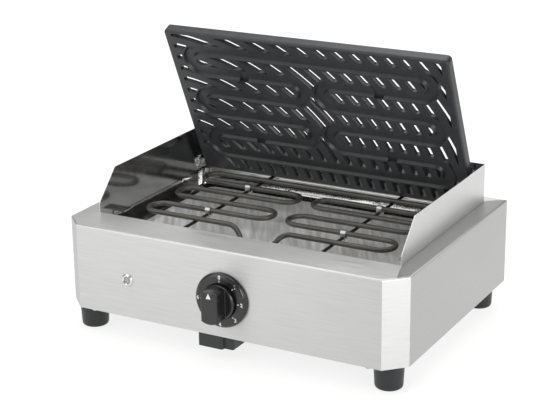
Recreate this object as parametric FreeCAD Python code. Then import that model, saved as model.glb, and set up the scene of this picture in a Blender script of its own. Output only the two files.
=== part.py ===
"""Electric table-top griller with a lift-up cast-iron grate and a small grease drawer.

Frame: millimetres, +X to the right, +Y to the rear, +Z up. The origin is on the surface
that the feet stand on, under the middle of the overall width and depth. The grate stands
open, leaning forward over the well, and the drawer and the knob are at home.
"""
import FreeCAD, Part
import math
import os

V = FreeCAD.Vector

# ---------------------------------------------------------------- driving dimensions
# Casing: folded stainless sheet, front corners cut at 45 degrees
case_w = 470.0
case_d = 329.4
case_h = 112.0
corner_cut = 24.5
sheet_t = 1.2
bend_r = 2.2
foot_h = 32.0
rim_front = 52.5
rim_side = 24.3
rim_rear = 17.8
rim_flange_h = 12.0
rim_edge_r = 1.5
base_flange_w = 14.0
base_gusset = 54.0
panel_flange = 11.0
vent_count = 7
vent_x = 60.0
vent_pitch = 16.0
vent_w = 5.0
vent_l = 24.0
vent_in = 20.0

# Splash guard: one sheet folded round the sides and the back of the well
guard_t = 0.8
guard_rise = 49.8
guard_drop = 16.0
guard_front_rise = 12.0
guard_slope_run = 37.0
guard_corner_r = 2.5
guard_tip_r = 6.0

# Grate: cast iron, a deep rim round a thinner web with flared arc slots, and a channel below
# that the heating element fits into
grate_side_gap = 8.9
grate_front_gap = 16.9
grate_t = 13.6
grate_web_t = 7.4
grate_rim_w = 4.6
grate_rim_rear = 7.6
grate_pocket_r = 3.0
grate_corner_r = 5.5
grate_edge_r = 1.0
grate_heel_cut = 5.0
grate_heel_r = 3.0
grate_seat_h = 106.7
grate_open = 65.3
pivot_in = 6.05
pivot_up = 4.5
pivot_gap_rear = 10.7
pivot_d = 5.0
bracket_t = 2.4
bracket_half = 9.0
bracket_r = 7.0
bracket_gap = 0.4
pin_hold = 9.5
pin_end_gap = 0.3
collar_d = 9.0
collar_gap = 0.4
rest_t = 1.5
rest_w = 18.0
rest_under = 8.0
rest_from_edge = 12.0
rest_leg = 4.0
slot_field_side = 10.0
slot_field_front = 5.0
slot_field_rear = 8.0
slot_w = 8.6
slot_flare = 3.6
slot_pitch = 18.2
slot_first_r = 79.0
slot_origin_side = 17.0
slot_origin_rear = 27.0
slot_smallest = 40.0
trough_depth = 0.8
channel_mouth = 15.0
channel_floor = 10.6
channel_room = 0.45
channel_land = 2.2
clip_room_side = 3.0
clip_room_front = 4.6
clip_room_above = 0.4

# Heating element: one bent tube that lies in the channel when the grate is down
tube_d = 6.5
tube_h = 107.0
run_count = 6
run_rear_gap = 39.0
run_front_gap = 45.1
turn_in = 27.5
centre_gap = 23.0
leg_left_x = -38.3
leg_left_turn_r = 23.5
leg_left_ahead = 11.1
leg_left_low_r = 13.4
leg_right_x = 31.5
leg_right_turn_r = 15.5
leg_right_ahead = 12.0
leg_right_drop = 7.4
leg_right_mid_r = 10.0
leg_right_low_ahead = 38.0
leg_right_low_r = 12.3
leg_end = 8.0
pin_left_x = -21.6
pin_right_x = 27.4
pin_h = 94.0
pin_l = 11.0
bush_d = 8.0
bush_l = 4.0
rod_d = 4.0
rod_x = 97.0
clip_w = 7.0
clip_t = 0.6
clip_below = 0.8
element_plate_t = 2.0
element_plate_w = 84.0
element_plate_h = 16.0
element_plate_r = 3.0
element_plate_gap = 0.5
element_screw_in = 7.0
element_screw_l = 6.0

# Reflector pan under the element, with a ledge, a dished floor and a drain at the front
pan_t = 0.8
pan_top_h = 99.0
pan_ledge_h = 84.0
pan_ledge_w = 19.0
pan_corner_r = 14.0
pan_draft = 5.0
pan_rear_depth = 4.0
pan_front_depth = 9.0
drain_w = 70.0
drain_l = 12.0
drain_in = 10.0
chute_gap = 1.0
chute_exit_w = 26.0
chute_exit_l = 12.0
chute_exit_h = -0.6
chute_straight = 8.0

# Grease drawer under the front edge
drawer_x = -12.5
drawer_face_w = 34.7
drawer_w = 47.0
drawer_step = 4.7
drawer_step_r = 3.7
drawer_h = 17.0
drawer_wall = 1.6
drawer_gap = 0.5
drawer_front_t = 12.0
drawer_lip_w = 3.0
drawer_lip_t = 1.6
drawer_corner_r = 2.5
drawer_edge_r = 0.8
cup_inset = 4.6
cup_down = 0.8
cup_past_drain = 36.5
cup_corner_r = 4.0
lip_short = 6.0
finger_w = 27.0
finger_l = 7.0
finger_depth = 12.0
finger_in = 6.7
rail_t = 1.2
rail_w = 9.0
rail_under = 2.2
rail_from_flange = 6.0
rail_short = 8.0
slide_gap = 0.3

# Knob, dial and regulator
knob_z = 49.5
dial_d = 70.0
dial_rise = 7.0
dial_round = 4.5
dial_gap = 0.6
boss_d = 44.0
boss_rise = 13.0
grip_w = 22.0
knob_reach = 33.0
knob_off = 1.2
knob_edge = 1.5
knob_grip_r = 1.8
knob_wall = 2.2
hub_d = 12.0
shaft_d = 6.0
shaft_flat = 1.5
shaft_out = 15.0
shaft_in = 14.0
flat_from = 4.0
run_clear = 0.05
regulator_w = 36.0
regulator_h = 32.0
regulator_l = 25.0
regulator_screw_x = 14.0
regulator_screw_d = 3.0
regulator_screw_l = 6.0
regulator_head_d = 5.6
regulator_head_h = 0.9
neck_d = 10.0
neck_clear = 0.5
neck_out = 0.6
tab_w = 6.3
tab_t = 0.8
tab_l = 8.0

# Pilot lamp
lamp_in = 98.5
lamp_z = 50.0
lamp_d = 16.0
lamp_barrel_d = 11.0
lamp_barrel_l = 10.0
lamp_wall = 1.2
lamp_edge = 0.9
lamp_slope = 1.6
lamp_rise = 2.6
lamp_lens_in = 6.0
lamp_body_l = 22.0
lamp_body_wall = 2.0
lamp_tab_x = 3.2
lamp_tab_w = 4.8

# Feet, screws, cord entry and terminals
foot_d = 36.0
foot_side_in = 27.2
foot_front_in = 28.0
foot_rear_in = 20.6
foot_taper = 1.5
foot_round = 5.0
foot_hole_d = 14.0
foot_hole_h = 14.0
screw_d = 4.0
screw_head_d = 7.5
screw_head_h = 2.6
screw_head_slope = 1.5
screw_clear = 0.1
nut_w = 7.0
nut_t = 3.2
thread_past = 1.8
case_screw_l = 7.0
case_screw_side_in = 43.5
case_screw_in = 5.0
side_screw_in = 90.0
gland_in = 85.0
gland_z = 34.0
gland_reach = 9.0
gland_d = 20.0
gland_slope = 2.0
gland_thread_d = 16.0
gland_thread_past = 3.0
gland_bore_d = 8.0
gland_nut_w = 22.0
gland_nut_t = 5.0
block_w = 42.0
block_d = 18.0
block_h = 14.0
block_bore_d = 4.6
block_from_gland = 24.0
block_from_rear = 30.0
earth_in = 40.0
earth_from_rear = 50.0
earth_l = 14.0

# ---------------------------------------------------------------- derived places
depth = knob_reach + case_d + gland_reach
front_y = -depth / 2 + knob_reach
rear_y = front_y + case_d
base_z = foot_h
top_z = base_z + case_h
half_w = case_w / 2
well_x = half_w - rim_side
well_front = front_y + rim_front
well_rear = rear_y - rim_rear
plate_z = base_z + sheet_t
floor_z = plate_z + sheet_t
guard_low_z = top_z - guard_drop
guard_in_x = well_x - guard_t
guard_in_y = well_rear - guard_t

pivot_y = well_rear - pivot_gap_rear
pivot_z = base_z + grate_seat_h + pivot_up
bracket_room = pivot_gap_rear - guard_corner_r - bracket_gap
hinge_y = pivot_y + pivot_in
grate_x = guard_in_x - grate_side_gap
grate_w = 2 * grate_x
grate_l = hinge_y - well_front - grate_front_gap
tube_z = base_z + tube_h
turn_reach = grate_x - turn_in
run_pitch = (well_rear - run_rear_gap - well_front - run_front_gap) / (run_count - 1)
run_y = [well_rear - run_rear_gap - run_pitch * i for i in range(run_count)]
rod_z = tube_z - tube_d / 2 - rod_d / 2 - run_clear
clip_places = [(side * rod_x, y) for side in (-1, 1) for y in (run_y[1], run_y[4])]
clip_r = tube_d / 2 + run_clear + clip_t
channel_depth = tube_h + tube_d / 2 + channel_room - grate_seat_h
clip_recess = tube_h + clip_r + clip_room_above - grate_seat_h
pin_z = base_z + pin_h
pin_end_y = well_front - element_plate_t - leg_end
element_plate_x = (pin_left_x + pin_right_x) / 2
element_screw_x = [element_plate_x + sx * (element_plate_w / 2 - element_screw_in)
                   for sx in (-1, 1)]
drain_y = well_front + pan_ledge_w + drain_in
drawer_top = base_z - drawer_gap
drawer_low = drawer_top - drawer_h
cup_front = front_y + drawer_step + drawer_front_t
cup_rear = drain_y + chute_exit_l / 2 + cup_past_drain
knob_axis_z = base_z + knob_z
lamp_x = -half_w + lamp_in
gland_x = -half_w + gland_in
foot_x = half_w - foot_side_in
foot_places = [(sx * foot_x, y) for sx in (-1, 1)
               for y in (front_y + foot_front_in, rear_y - foot_rear_in)]
case_screw_places = [(sx * (half_w - case_screw_side_in), y) for sx in (-1, 1)
                     for y in (front_y + case_screw_in, rear_y - case_screw_in)]
case_screw_places += [(sx * (half_w - case_screw_in), y) for sx in (-1, 1)
                      for y in (front_y + side_screw_in, rear_y - side_screw_in)]


# ---------------------------------------------------------------- small helpers
def box(x0, x1, y0, y1, z0, z1):
    """A box between two corners."""
    return Part.makeBox(x1 - x0, y1 - y0, z1 - z0, V(x0, y0, z0))


def rod(start, direction, diameter, length):
    """A round bar from a point along a direction."""
    return Part.makeCylinder(diameter / 2, length, start, direction)


def prism(points, along):
    """A closed outline of 3-D points pushed along a vector."""
    wire = Part.makePolygon(points + [points[0]])
    return Part.Face(wire).extrude(along)


def hexagon(centre, across, height):
    """A hexagonal nut blank standing on a point, axis up."""
    radius = across / math.sqrt(3)
    corners = []
    for i in range(6):
        turn = math.radians(60 * i)
        corners.append(centre + V(radius * math.cos(turn), radius * math.sin(turn), 0))
    return prism(corners, V(0, 0, height))


def round_rect(x0, x1, y0, y1, z, radius):
    """A level rectangle with round corners, as a wire."""
    block = box(x0, x1, y0, y1, z, z + 1)
    edges = [e for e in block.Edges if e.BoundBox.ZLength > 0.5]
    block = block.makeFillet(radius, edges)
    face = [f for f in block.Faces if abs(f.CenterOfMass.z - z) < 1e-6][0]
    return face.OuterWire


def bent_tube(points, radii, diameter):
    """A round tube along straight runs joined by tangent arcs, one radius a corner."""
    pieces = []
    last = points[0]
    for corner, after, radius in zip(points[1:-1], points[2:], radii):
        back = (last - corner).normalize()
        ahead = (after - corner).normalize()
        half_turn = back.getAngle(ahead) / 2
        first = corner + back * (radius / math.tan(half_turn))
        centre = corner + (back + ahead).normalize() * (radius / math.sin(half_turn))
        if (first - last).Length > 1e-4:
            pieces.append(rod(last, first - last, diameter, (first - last).Length))
        disc = Part.Face(Part.Wire(Part.makeCircle(diameter / 2, first, back)))
        turn = 180 - math.degrees(2 * half_turn)
        pieces.append(disc.revolve(centre, ahead.cross(back), turn))
        last = corner + ahead * (radius / math.tan(half_turn))
    pieces.append(rod(last, points[-1] - last, diameter, (points[-1] - last).Length))
    return pieces[0].fuse(pieces[1:])


def joined(shapes):
    """Several solids as one shape, cleaned of seams between coplanar faces."""
    return shapes[0].fuse(shapes[1:]).removeSplitter()


def save(name, shape):
    """One STEP file for a node."""
    shape.exportStep("parts/" + name + ".step")


def case_outline(inset, rear_inset):
    """The casing's plan: a rectangle with its two front corners cut at 45 degrees."""
    cut = corner_cut + inset * (math.sqrt(2) - 2)
    x = half_w - inset
    y0 = front_y + inset
    y1 = rear_y - rear_inset
    return [(-x, y1), (-x, y0 + cut), (-x + cut, y0), (x - cut, y0), (x, y0 + cut), (x, y1)]


def case_block(inset, rear_inset, z0, z1):
    """The casing's plan as a solid between two heights."""
    corners = [V(x, y, z0) for x, y in case_outline(inset, rear_inset)]
    return prism(corners, V(0, 0, z1 - z0))


# ---------------------------------------------------------------- casing
def casing_shell():
    """Top rim, front, cut corners and sides in one folded sheet, open at the rear."""
    outer = case_block(0, 0, base_z, top_z)
    edges = [e for e in outer.Edges
             if abs(e.BoundBox.ZMin - top_z) < 1e-6 and e.BoundBox.ZLength < 1e-6]
    shell = outer.makeFillet(bend_r, edges)
    shell = shell.cut(case_block(sheet_t, -1, base_z + sheet_t, top_z - sheet_t))
    shell = shell.cut(box(-half_w + sheet_t, half_w - sheet_t, rear_y - sheet_t, rear_y + 1,
                          base_z - 1, top_z - sheet_t))
    # the bottom stays as a flange that widens at the corners, over the feet
    x = half_w - base_flange_w
    y0 = front_y + base_flange_w
    y1 = rear_y - base_flange_w
    g = base_gusset
    hole = [(-x, y0 + g), (-x + g, y0), (x - g, y0), (x, y0 + g),
            (x, y1 - g), (x - g, y1), (-x + g, y1), (-x, y1 - g)]
    shell = shell.cut(prism([V(a, b, base_z - 1) for a, b in hole], V(0, 0, 3)))
    # the well's edge turns down into a short flange
    edge_block = box(-well_x - sheet_t, well_x + sheet_t, well_front - sheet_t,
                     well_rear + sheet_t, top_z - rim_flange_h, top_z - sheet_t)
    well = box(-well_x, well_x, well_front, well_rear, top_z - rim_flange_h - 1, top_z + 1)
    shell = shell.fuse(edge_block).cut(well)
    lips = [e for e in shell.Edges
            if abs(e.BoundBox.ZMin - top_z) < 1e-6 and e.BoundBox.ZLength < 1e-6
            and abs(e.CenterOfMass.x) < well_x + 1e-3
            and well_front - 1e-3 < e.CenterOfMass.y < well_rear + 1e-3]
    shell = shell.makeFillet(rim_edge_r, lips)
    # panel holes for the regulator neck, its screws and the pilot lamp
    inward = V(0, 1, 0)
    shell = shell.cut(rod(V(0, front_y - 1, knob_axis_z), inward, neck_d + 2 * neck_clear,
                          sheet_t + 2))
    for sx in (-1, 1):
        start = V(sx * regulator_screw_x, front_y - 1, knob_axis_z)
        hole_d = regulator_screw_d + 2 * screw_clear
        shell = shell.cut(rod(start, inward, hole_d, sheet_t + 2))
    lamp = V(lamp_x, front_y - 1, base_z + lamp_z)
    shell = shell.cut(rod(lamp, inward, lamp_barrel_d + 2 * screw_clear, sheet_t + 2))
    for x, y in foot_places + case_screw_places:
        hole = rod(V(x, y, base_z - 1), V(0, 0, 1), screw_d + 2 * screw_clear, sheet_t + 2)
        shell = shell.cut(hole)
    return shell.removeSplitter()


def rear_panel():
    """Flat rear panel with two side flanges, between the casing's sides."""
    x = half_w - sheet_t
    z0 = base_z + sheet_t
    z1 = top_z - sheet_t
    panel = box(-x, x, rear_y - sheet_t, rear_y, z0, z1)
    for sx in (-1, 1):
        edge = sorted((sx * x, sx * (x - sheet_t)))
        panel = panel.fuse(box(edge[0], edge[1], rear_y - panel_flange, rear_y - sheet_t,
                               floor_z, z1))
    entry = V(gland_x, rear_y - sheet_t - 1, base_z + gland_z)
    panel = panel.cut(rod(entry, V(0, 1, 0), gland_thread_d + 2 * screw_clear, sheet_t + 2))
    return panel.removeSplitter()


def base_plate():
    """Flat plate that closes the casing from inside, on the flange."""
    plate = case_block(sheet_t, sheet_t, plate_z, floor_z)
    for x, y in foot_places + case_screw_places:
        hole = rod(V(x, y, plate_z - 1), V(0, 0, 1), screw_d + 2 * screw_clear, sheet_t + 2)
        plate = plate.cut(hole)
    mouth = box(drawer_x - chute_exit_w / 2 - pan_t, drawer_x + chute_exit_w / 2 + pan_t,
                drain_y - chute_exit_l / 2 - pan_t, drain_y + chute_exit_l / 2 + pan_t,
                plate_z - 1, floor_z + 1)
    plate = plate.cut(mouth)
    # a row of cooling slots under the regulator
    y0 = front_y + vent_in + vent_w / 2
    y1 = y0 + vent_l - vent_w
    for i in range(vent_count):
        x = vent_x + vent_pitch * i
        slot = box(x - vent_w / 2, x + vent_w / 2, y0, y1, plate_z - 1, floor_z + 1)
        for y in (y0, y1):
            slot = slot.fuse(rod(V(x, y, plate_z - 1), V(0, 0, 1), vent_w, sheet_t + 2))
        plate = plate.cut(slot)
    return plate


# ---------------------------------------------------------------- splash guard and hinge
def splash_guard():
    """U-shaped guard: it hangs inside the well's flange and rises round three sides."""
    z1 = top_z + guard_rise
    outer = box(-well_x, well_x, well_front, well_rear, guard_low_z, z1)
    corners = [e for e in outer.Edges if e.BoundBox.ZLength > 1 and e.BoundBox.YMin > 0]
    outer = outer.makeFillet(guard_corner_r, corners)
    inner = box(-guard_in_x, guard_in_x, well_front - 1, guard_in_y, guard_low_z - 1, z1 + 1)
    corners = [e for e in inner.Edges if e.BoundBox.ZLength > 1 and e.BoundBox.YMin > 0]
    inner = inner.makeFillet(guard_corner_r - guard_t, corners)
    guard = outer.cut(inner)
    # the front ends are cut back to a slope, with the two bends of the edge rounded
    low = top_z + guard_front_rise
    side = [V(-half_w, well_front, guard_low_z - 1), V(-half_w, well_front, low),
            V(-half_w, well_front + guard_slope_run, z1), V(-half_w, rear_y, z1),
            V(-half_w, rear_y, guard_low_z - 1)]
    keep = prism(side, V(case_w, 0, 0))
    bends = [e for e in keep.Edges if e.BoundBox.XLength > 1
             and e.BoundBox.YMax < well_front + guard_slope_run + 1 and e.BoundBox.ZMin > top_z]
    return guard.common(keep.makeFillet(guard_tip_r, bends))


def hinge_bracket(side):
    """Small plate on the guard's wall that carries one end of the grate's pivot."""
    x_wall = side * guard_in_x
    x_face = side * (guard_in_x - bracket_t)
    x0, x1 = sorted((x_wall, x_face))
    plate = box(x0, x1, pivot_y - bracket_half, pivot_y + bracket_room, pivot_z - bracket_half,
                pivot_z + bracket_half)
    corners = [e for e in plate.Edges if e.BoundBox.XLength > 1 and e.BoundBox.YMax < pivot_y]
    plate = plate.makeFillet(bracket_r, corners)
    hole = rod(V(x0 - 1, pivot_y, pivot_z), V(1, 0, 0), pivot_d + 2 * run_clear, bracket_t + 2)
    return plate.cut(hole)


def grate_pin(side):
    """Pivot pin pressed into the grate's end, with a collar towards the bracket."""
    inner = grate_x - pin_hold
    outer = guard_in_x - pin_end_gap
    pin = rod(V(side * inner, pivot_y, pivot_z), V(side, 0, 0), pivot_d, outer - inner)
    collar_l = guard_in_x - bracket_t - collar_gap - grate_x
    collar = rod(V(side * grate_x, pivot_y, pivot_z), V(side, 0, 0), collar_d, collar_l)
    return joined([pin, collar])


def grate_rest(side):
    """Bent tab on the guard's side wall that the closed grate comes down on."""
    x_wall = side * guard_in_x
    x_in = side * (grate_x - rest_under)
    x0, x1 = sorted((x_wall, x_in))
    seat = base_z + grate_seat_h - slide_gap
    y0 = hinge_y - grate_l + rest_from_edge
    lip = box(x0, x1, y0, y0 + rest_w, seat - rest_t, seat)
    x0, x1 = sorted((x_wall, side * (guard_in_x - rest_t)))
    leg = box(x0, x1, y0, y0 + rest_w, guard_low_z + rest_leg, seat)
    tab = lip.fuse(leg).removeSplitter()
    bend = [e for e in tab.Edges if e.BoundBox.YLength > 1
            and abs(abs(e.CenterOfMass.x) - guard_in_x) > 0.1
            and abs(e.CenterOfMass.z - (seat - rest_t)) < 1e-3
            and abs(e.CenterOfMass.x) > grate_x]
    return tab.makeFillet(rest_t, bend)


# ---------------------------------------------------------------- grate
def serpentine(run_places):
    """Closed centre line of the channel, level at height 0: runs and round turns."""
    half = run_pitch / 2
    y = run_places
    x_out = turn_reach - half
    x_mid = centre_gap / 2 + half
    edges = []
    for side in (-1, 1):
        for i in range(run_count - 1):
            outer = i % 2 == 0
            x = side * (x_out if outer else x_mid)
            bulge = x + side * half * (1 if outer else -1)
            top = V(x, y[i], 0)
            low = V(x, y[i + 1], 0)
            edges.append(Part.Arc(top, V(bulge, (y[i] + y[i + 1]) / 2, 0), low).toShape())
        for i in range(1, run_count - 1):
            edges.append(Part.makeLine(V(side * x_mid, y[i], 0), V(side * x_out, y[i], 0)))
    edges.append(Part.makeLine(V(-x_out, y[0], 0), V(x_out, y[0], 0)))
    edges.append(Part.makeLine(V(-x_out, y[-1], 0), V(x_out, y[-1], 0)))
    return Part.Wire(Part.__sortEdges__(edges))


def channel_cutter(line):
    """The channel in the grate's underside, narrower at its floor."""
    edge = line.Edges[0]
    start = edge.valueAt(edge.FirstParameter)
    ahead = edge.tangentAt(edge.FirstParameter)
    across = ahead.cross(V(0, 0, 1))
    m = channel_mouth / 2
    f = channel_floor / 2
    below = 1.0
    spread = below * (m - f) / channel_depth
    corners = [start + across * (m + spread) - V(0, 0, below),
               start + across * f + V(0, 0, channel_depth),
               start - across * f + V(0, 0, channel_depth),
               start - across * (m + spread) - V(0, 0, below)]
    profile = Part.makePolygon(corners + [corners[0]])
    return line.makePipeShell([profile], True, False)


def arc_bands(over):
    """Ring-shaped cutters, one a slot row, round a point outside the rear left corner: each
    is as wide as a slot at the underside, flares towards the top and runs past both."""
    centre = V(-grate_x - slot_origin_side, hinge_y + slot_origin_rear, 0)
    farthest = math.hypot(grate_w + slot_origin_side, grate_l + slot_origin_rear)
    lean = slot_flare / grate_web_t * over
    low = slot_w / 2 - lean
    high = slot_w / 2 + slot_flare + lean
    bands = []
    radius = slot_first_r
    while radius < farthest:
        corners = [centre + V(radius + r, 0, z) for r, z in
                   ((-low, -over), (low, -over), (high, grate_web_t + over),
                    (-high, grate_web_t + over))]
        face = Part.Face(Part.makePolygon(corners + [corners[0]]))
        bands.append(face.revolve(centre, V(0, 0, 1), 360))
        radius += slot_pitch
    return Part.makeCompound(bands)


def grate_casting_closed():
    """The grate lying shut with its underside at height 0."""
    y0 = hinge_y - grate_l
    plate = box(-grate_x, grate_x, y0, hinge_y, 0, grate_t)
    uprights = [e for e in plate.Edges if e.BoundBox.ZLength > 1]
    plate = plate.makeFillet(grate_corner_r, uprights)
    # the heel is round below, so that it turns clear of the support rods
    heel = [e for e in plate.Edges if e.BoundBox.ZMax < 1e-6
            and e.BoundBox.YMin > hinge_y - 1e-3]
    plate = plate.makeFillet(grate_heel_r, heel)
    rims = [e for e in plate.Edges if e.BoundBox.ZLength < 1e-6
            and (e.BoundBox.ZMin > 1 or e.BoundBox.YMax < pivot_y - grate_heel_r)]
    plate = plate.makeFillet(grate_edge_r, rims)
    # the top of the heel is cut back so that it turns clear of the guard
    h = grate_heel_cut
    heel = [V(-grate_x - 1, hinge_y + 1, grate_t - h - 1), V(-grate_x - 1, hinge_y + 1, grate_t + 1),
            V(-grate_x - 1, hinge_y - h - 1, grate_t + 1)]
    plate = plate.cut(prism(heel, V(grate_w + 2, 0, 0)))
    # the cooking side is sunk inside the rim, down to the web
    sunk = round_rect(-grate_x + grate_rim_w, grate_x - grate_rim_w, y0 + grate_rim_w,
                      hinge_y - grate_rim_rear, grate_web_t, grate_pocket_r)
    plate = plate.cut(Part.Face(sunk).extrude(V(0, 0, grate_t)))
    # slots go right through between the channel's lands, and shallow troughs join them on top
    over = 1.0
    deep = grate_web_t + 2 * over
    f = grate_x - slot_field_side
    y1 = hinge_y - slot_field_rear
    y0 = y0 + slot_field_front
    slots = arc_bands(over).common(box(-f, f, y0, y1, -over, grate_web_t + over))
    line = serpentine(run_y)
    keep_off = channel_mouth / 2 + channel_land
    outside = Part.Face(line.makeOffset2D(keep_off)).extrude(V(0, 0, deep))
    inside = Part.Face(line.makeOffset2D(-keep_off)).extrude(V(0, 0, deep))
    band = outside.cut(inside)
    band.translate(V(0, 0, -over))
    through = [s for s in slots.cut(band).Solids if s.Volume > slot_smallest * deep]
    troughs = slots.common(box(-f, f, y0, y1, grate_web_t - trough_depth, grate_web_t + over))
    plate = plate.cut(troughs.Solids)
    plate = plate.cut(through)
    plate = plate.cut(channel_cutter(line))
    # square recesses over the element's clips
    for x, y in clip_places:
        half_x = clip_w / 2 + clip_room_side
        half_y = clip_r + clip_room_front
        plate = plate.cut(box(x - half_x, x + half_x, y - half_y, y + half_y, -over, clip_recess))
    for side in (-1, 1):
        seat = V(side * (grate_x - pin_hold), pivot_y, pivot_up)
        plate = plate.cut(rod(seat, V(side, 0, 0), pivot_d, pin_hold + 1))
    return plate


def open_grate(shape):
    """Turns a shut piece of the grate about its pivot to where it stands open."""
    shape.rotate(V(0, pivot_y, pivot_z), V(-1, 0, 0), grate_open)
    return shape


def grate_casting():
    """The grate at its height, standing open."""
    plate = grate_casting_closed()
    plate.translate(V(0, 0, base_z + grate_seat_h))
    return open_grate(plate)


# ---------------------------------------------------------------- heating element
def heating_element():
    """One tube: both legs bend down from the front run and go level through the pan."""
    half = run_pitch / 2
    x_mid = centre_gap / 2
    last_y = run_y[-1]
    left = [V(pin_left_x, pin_end_y, pin_z), V(pin_left_x, last_y - leg_left_ahead, pin_z),
            V(leg_left_x, last_y, tube_z)]
    right = [V(leg_right_x, last_y, tube_z),
             V(pin_right_x, last_y - leg_right_ahead, tube_z - leg_right_drop),
             V(pin_right_x, last_y - leg_right_low_ahead, pin_z),
             V(pin_right_x, pin_end_y, pin_z)]
    points = list(left)
    radii = [leg_left_low_r, leg_left_turn_r]
    for side in (-1, 1):
        order = range(run_count - 1, 0, -1) if side < 0 else range(0, run_count - 1)
        step = -1 if side < 0 else 1
        for i in order:
            outer = (min(i, i + step)) % 2 == 0
            x = side * (turn_reach if outer else x_mid)
            points += [V(x, run_y[i], tube_z), V(x, run_y[i + step], tube_z)]
            radii += [half, half]
    points += right
    radii += [leg_right_turn_r, leg_right_mid_r, leg_right_low_r]
    return bent_tube(points, radii, tube_d)


def terminal_bushes():
    """Ceramic bushes on the two cold ends of the tube."""
    pieces = []
    for x in (pin_left_x, pin_right_x):
        end = V(x, pin_end_y, pin_z)
        pieces.append(rod(end, V(0, -1, 0), bush_d, bush_l))
    return Part.makeCompound(pieces)


def terminal_pins():
    """Steel pins that the leads are fixed to."""
    pieces = []
    for x in (pin_left_x, pin_right_x):
        end = V(x, pin_end_y - bush_l, pin_z)
        pieces.append(rod(end, V(0, -1, 0), screw_d, pin_l))
    return Part.makeCompound(pieces)


def element_plate():
    """Fixing plate brazed to both legs, flat on the pan's front wall."""
    mid = element_plate_x
    plate = box(mid - element_plate_w / 2, mid + element_plate_w / 2,
                well_front - element_plate_t, well_front, pin_z - element_plate_h / 2,
                top_z - rim_flange_h - element_plate_gap)
    corners = [e for e in plate.Edges if e.BoundBox.YLength > 1]
    plate = plate.makeFillet(element_plate_r, corners)
    for x in (pin_left_x, pin_right_x):
        plate = plate.cut(leg_hole(x))
    for x in element_screw_x:
        at = V(x, well_front - element_plate_t - 1, pin_z)
        plate = plate.cut(rod(at, V(0, 1, 0), screw_d + 2 * screw_clear, element_plate_t + 2))
    return plate


def leg_hole(x):
    """Clearance for one leg of the element, through the plate and the pan's wall."""
    start = V(x, well_front - element_plate_t - 1, pin_z)
    return rod(start, V(0, 1, 0), tube_d + 2 * run_clear, element_plate_t + pan_t + 2)


def element_screws():
    """Two screws that hold the element's plate to the pan."""
    pieces = []
    for x in element_screw_x:
        at = V(x, well_front - element_plate_t, pin_z)
        head = rod(at, V(0, -1, 0), screw_head_d, screw_head_h)
        shank = rod(at, V(0, 1, 0), screw_d, element_screw_l)
        pieces.append(joined([head, shank]))
    return Part.makeCompound(pieces)


def support_rod(side):
    """Round rod from the pan's front wall to its rear wall, under the tubes."""
    length = guard_in_y - well_front
    return rod(V(side * rod_x, well_front, rod_z), V(0, 1, 0), rod_d, length)


def element_clips():
    """Four sheet clips that hold the tube down on the rods."""
    r = clip_r
    bore = clip_r - clip_t
    low = rod_z - rod_d / 2 - clip_below
    pieces = []
    for x, y in clip_places:
        x0 = x - clip_w / 2
        centre = V(x0, y, tube_z)
        outer = rod(centre, V(1, 0, 0), 2 * r, clip_w)
        outer = outer.fuse(box(x0, x0 + clip_w, y - r, y + r, low, tube_z))
        inner = rod(centre - V(1, 0, 0), V(1, 0, 0), 2 * bore, clip_w + 2)
        inner = inner.fuse(box(x0 - 1, x0 + clip_w + 1, y - bore, y + bore, low - 1, tube_z))
        hole = rod(V(x, y - tube_d, rod_z), V(0, 1, 0), rod_d + 2 * run_clear, 2 * tube_d)
        pieces.append(outer.cut(inner).cut(hole).removeSplitter())
    return Part.makeCompound(pieces)


# ---------------------------------------------------------------- reflector pan
def pan_dish(grow, lid):
    """The dished part as a tapered block: its bottom slopes down to the front."""
    x = guard_in_x - pan_t - pan_ledge_w + grow
    y0 = well_front + pan_t + pan_ledge_w / 2 - grow
    y1 = guard_in_y - pan_t - pan_ledge_w + grow
    z = base_z + pan_ledge_h
    radius = pan_corner_r + grow
    top = round_rect(-x, x, y0, y1, z + lid, radius)
    low = round_rect(-x + pan_draft, x - pan_draft, y0 + pan_draft, y1 - pan_draft,
                     z - pan_rear_depth - grow, radius - pan_draft / 2)
    slope = math.degrees(math.atan2(pan_front_depth - pan_rear_depth, y1 - y0))
    low.rotate(V(0, y1 - pan_draft, z - pan_rear_depth - grow), V(1, 0, 0), slope)
    return Part.makeLoft([top, low], True, True)


def reflector_pan():
    """Bright pan under the element: upright wall, ledge, dished floor and drain."""
    z = base_z + pan_ledge_h
    top = base_z + pan_top_h
    x = guard_in_x
    outer = round_rect(-x, x, well_front, guard_in_y, z - pan_t, pan_corner_r)
    inner = round_rect(-x + pan_t, x - pan_t, well_front + pan_t, guard_in_y - pan_t, z,
                       pan_corner_r - pan_t)
    pan = Part.Face(outer).extrude(V(0, 0, top - z + pan_t))
    pan = pan.fuse(pan_dish(pan_t, -pan_t))
    pan = pan.cut(Part.Face(inner).extrude(V(0, 0, top)))
    pan = pan.cut(pan_dish(0, 0.01))
    drain = box(drawer_x - drain_w / 2, drawer_x + drain_w / 2, drain_y - drain_l / 2,
                drain_y + drain_l / 2, z - pan_front_depth - pan_t - 1, z)
    pan = pan.cut(drain)
    for x in (pin_left_x, pin_right_x):
        pan = pan.cut(leg_hole(x))
    for x in element_screw_x:
        at = V(x, well_front - 1, pin_z)
        pan = pan.cut(rod(at, V(0, 1, 0), screw_d + 2 * screw_clear, pan_t + 2))
    for side in (-1, 1):
        at = V(side * rod_x, well_front - 1, rod_z)
        pan = pan.cut(rod(at, V(0, 1, 0), rod_d + 2 * run_clear, guard_in_y - well_front + 2))
    return pan


def flat_rectangle(width, length, z):
    """A level rectangle about the drain's middle, as a wire."""
    x0 = drawer_x - width / 2
    y0 = drain_y - length / 2
    corners = [V(x0, y0, z), V(x0 + width, y0, z), V(x0 + width, y0 + length, z),
               V(x0, y0 + length, z)]
    return Part.makePolygon(corners + [corners[0]])


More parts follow.
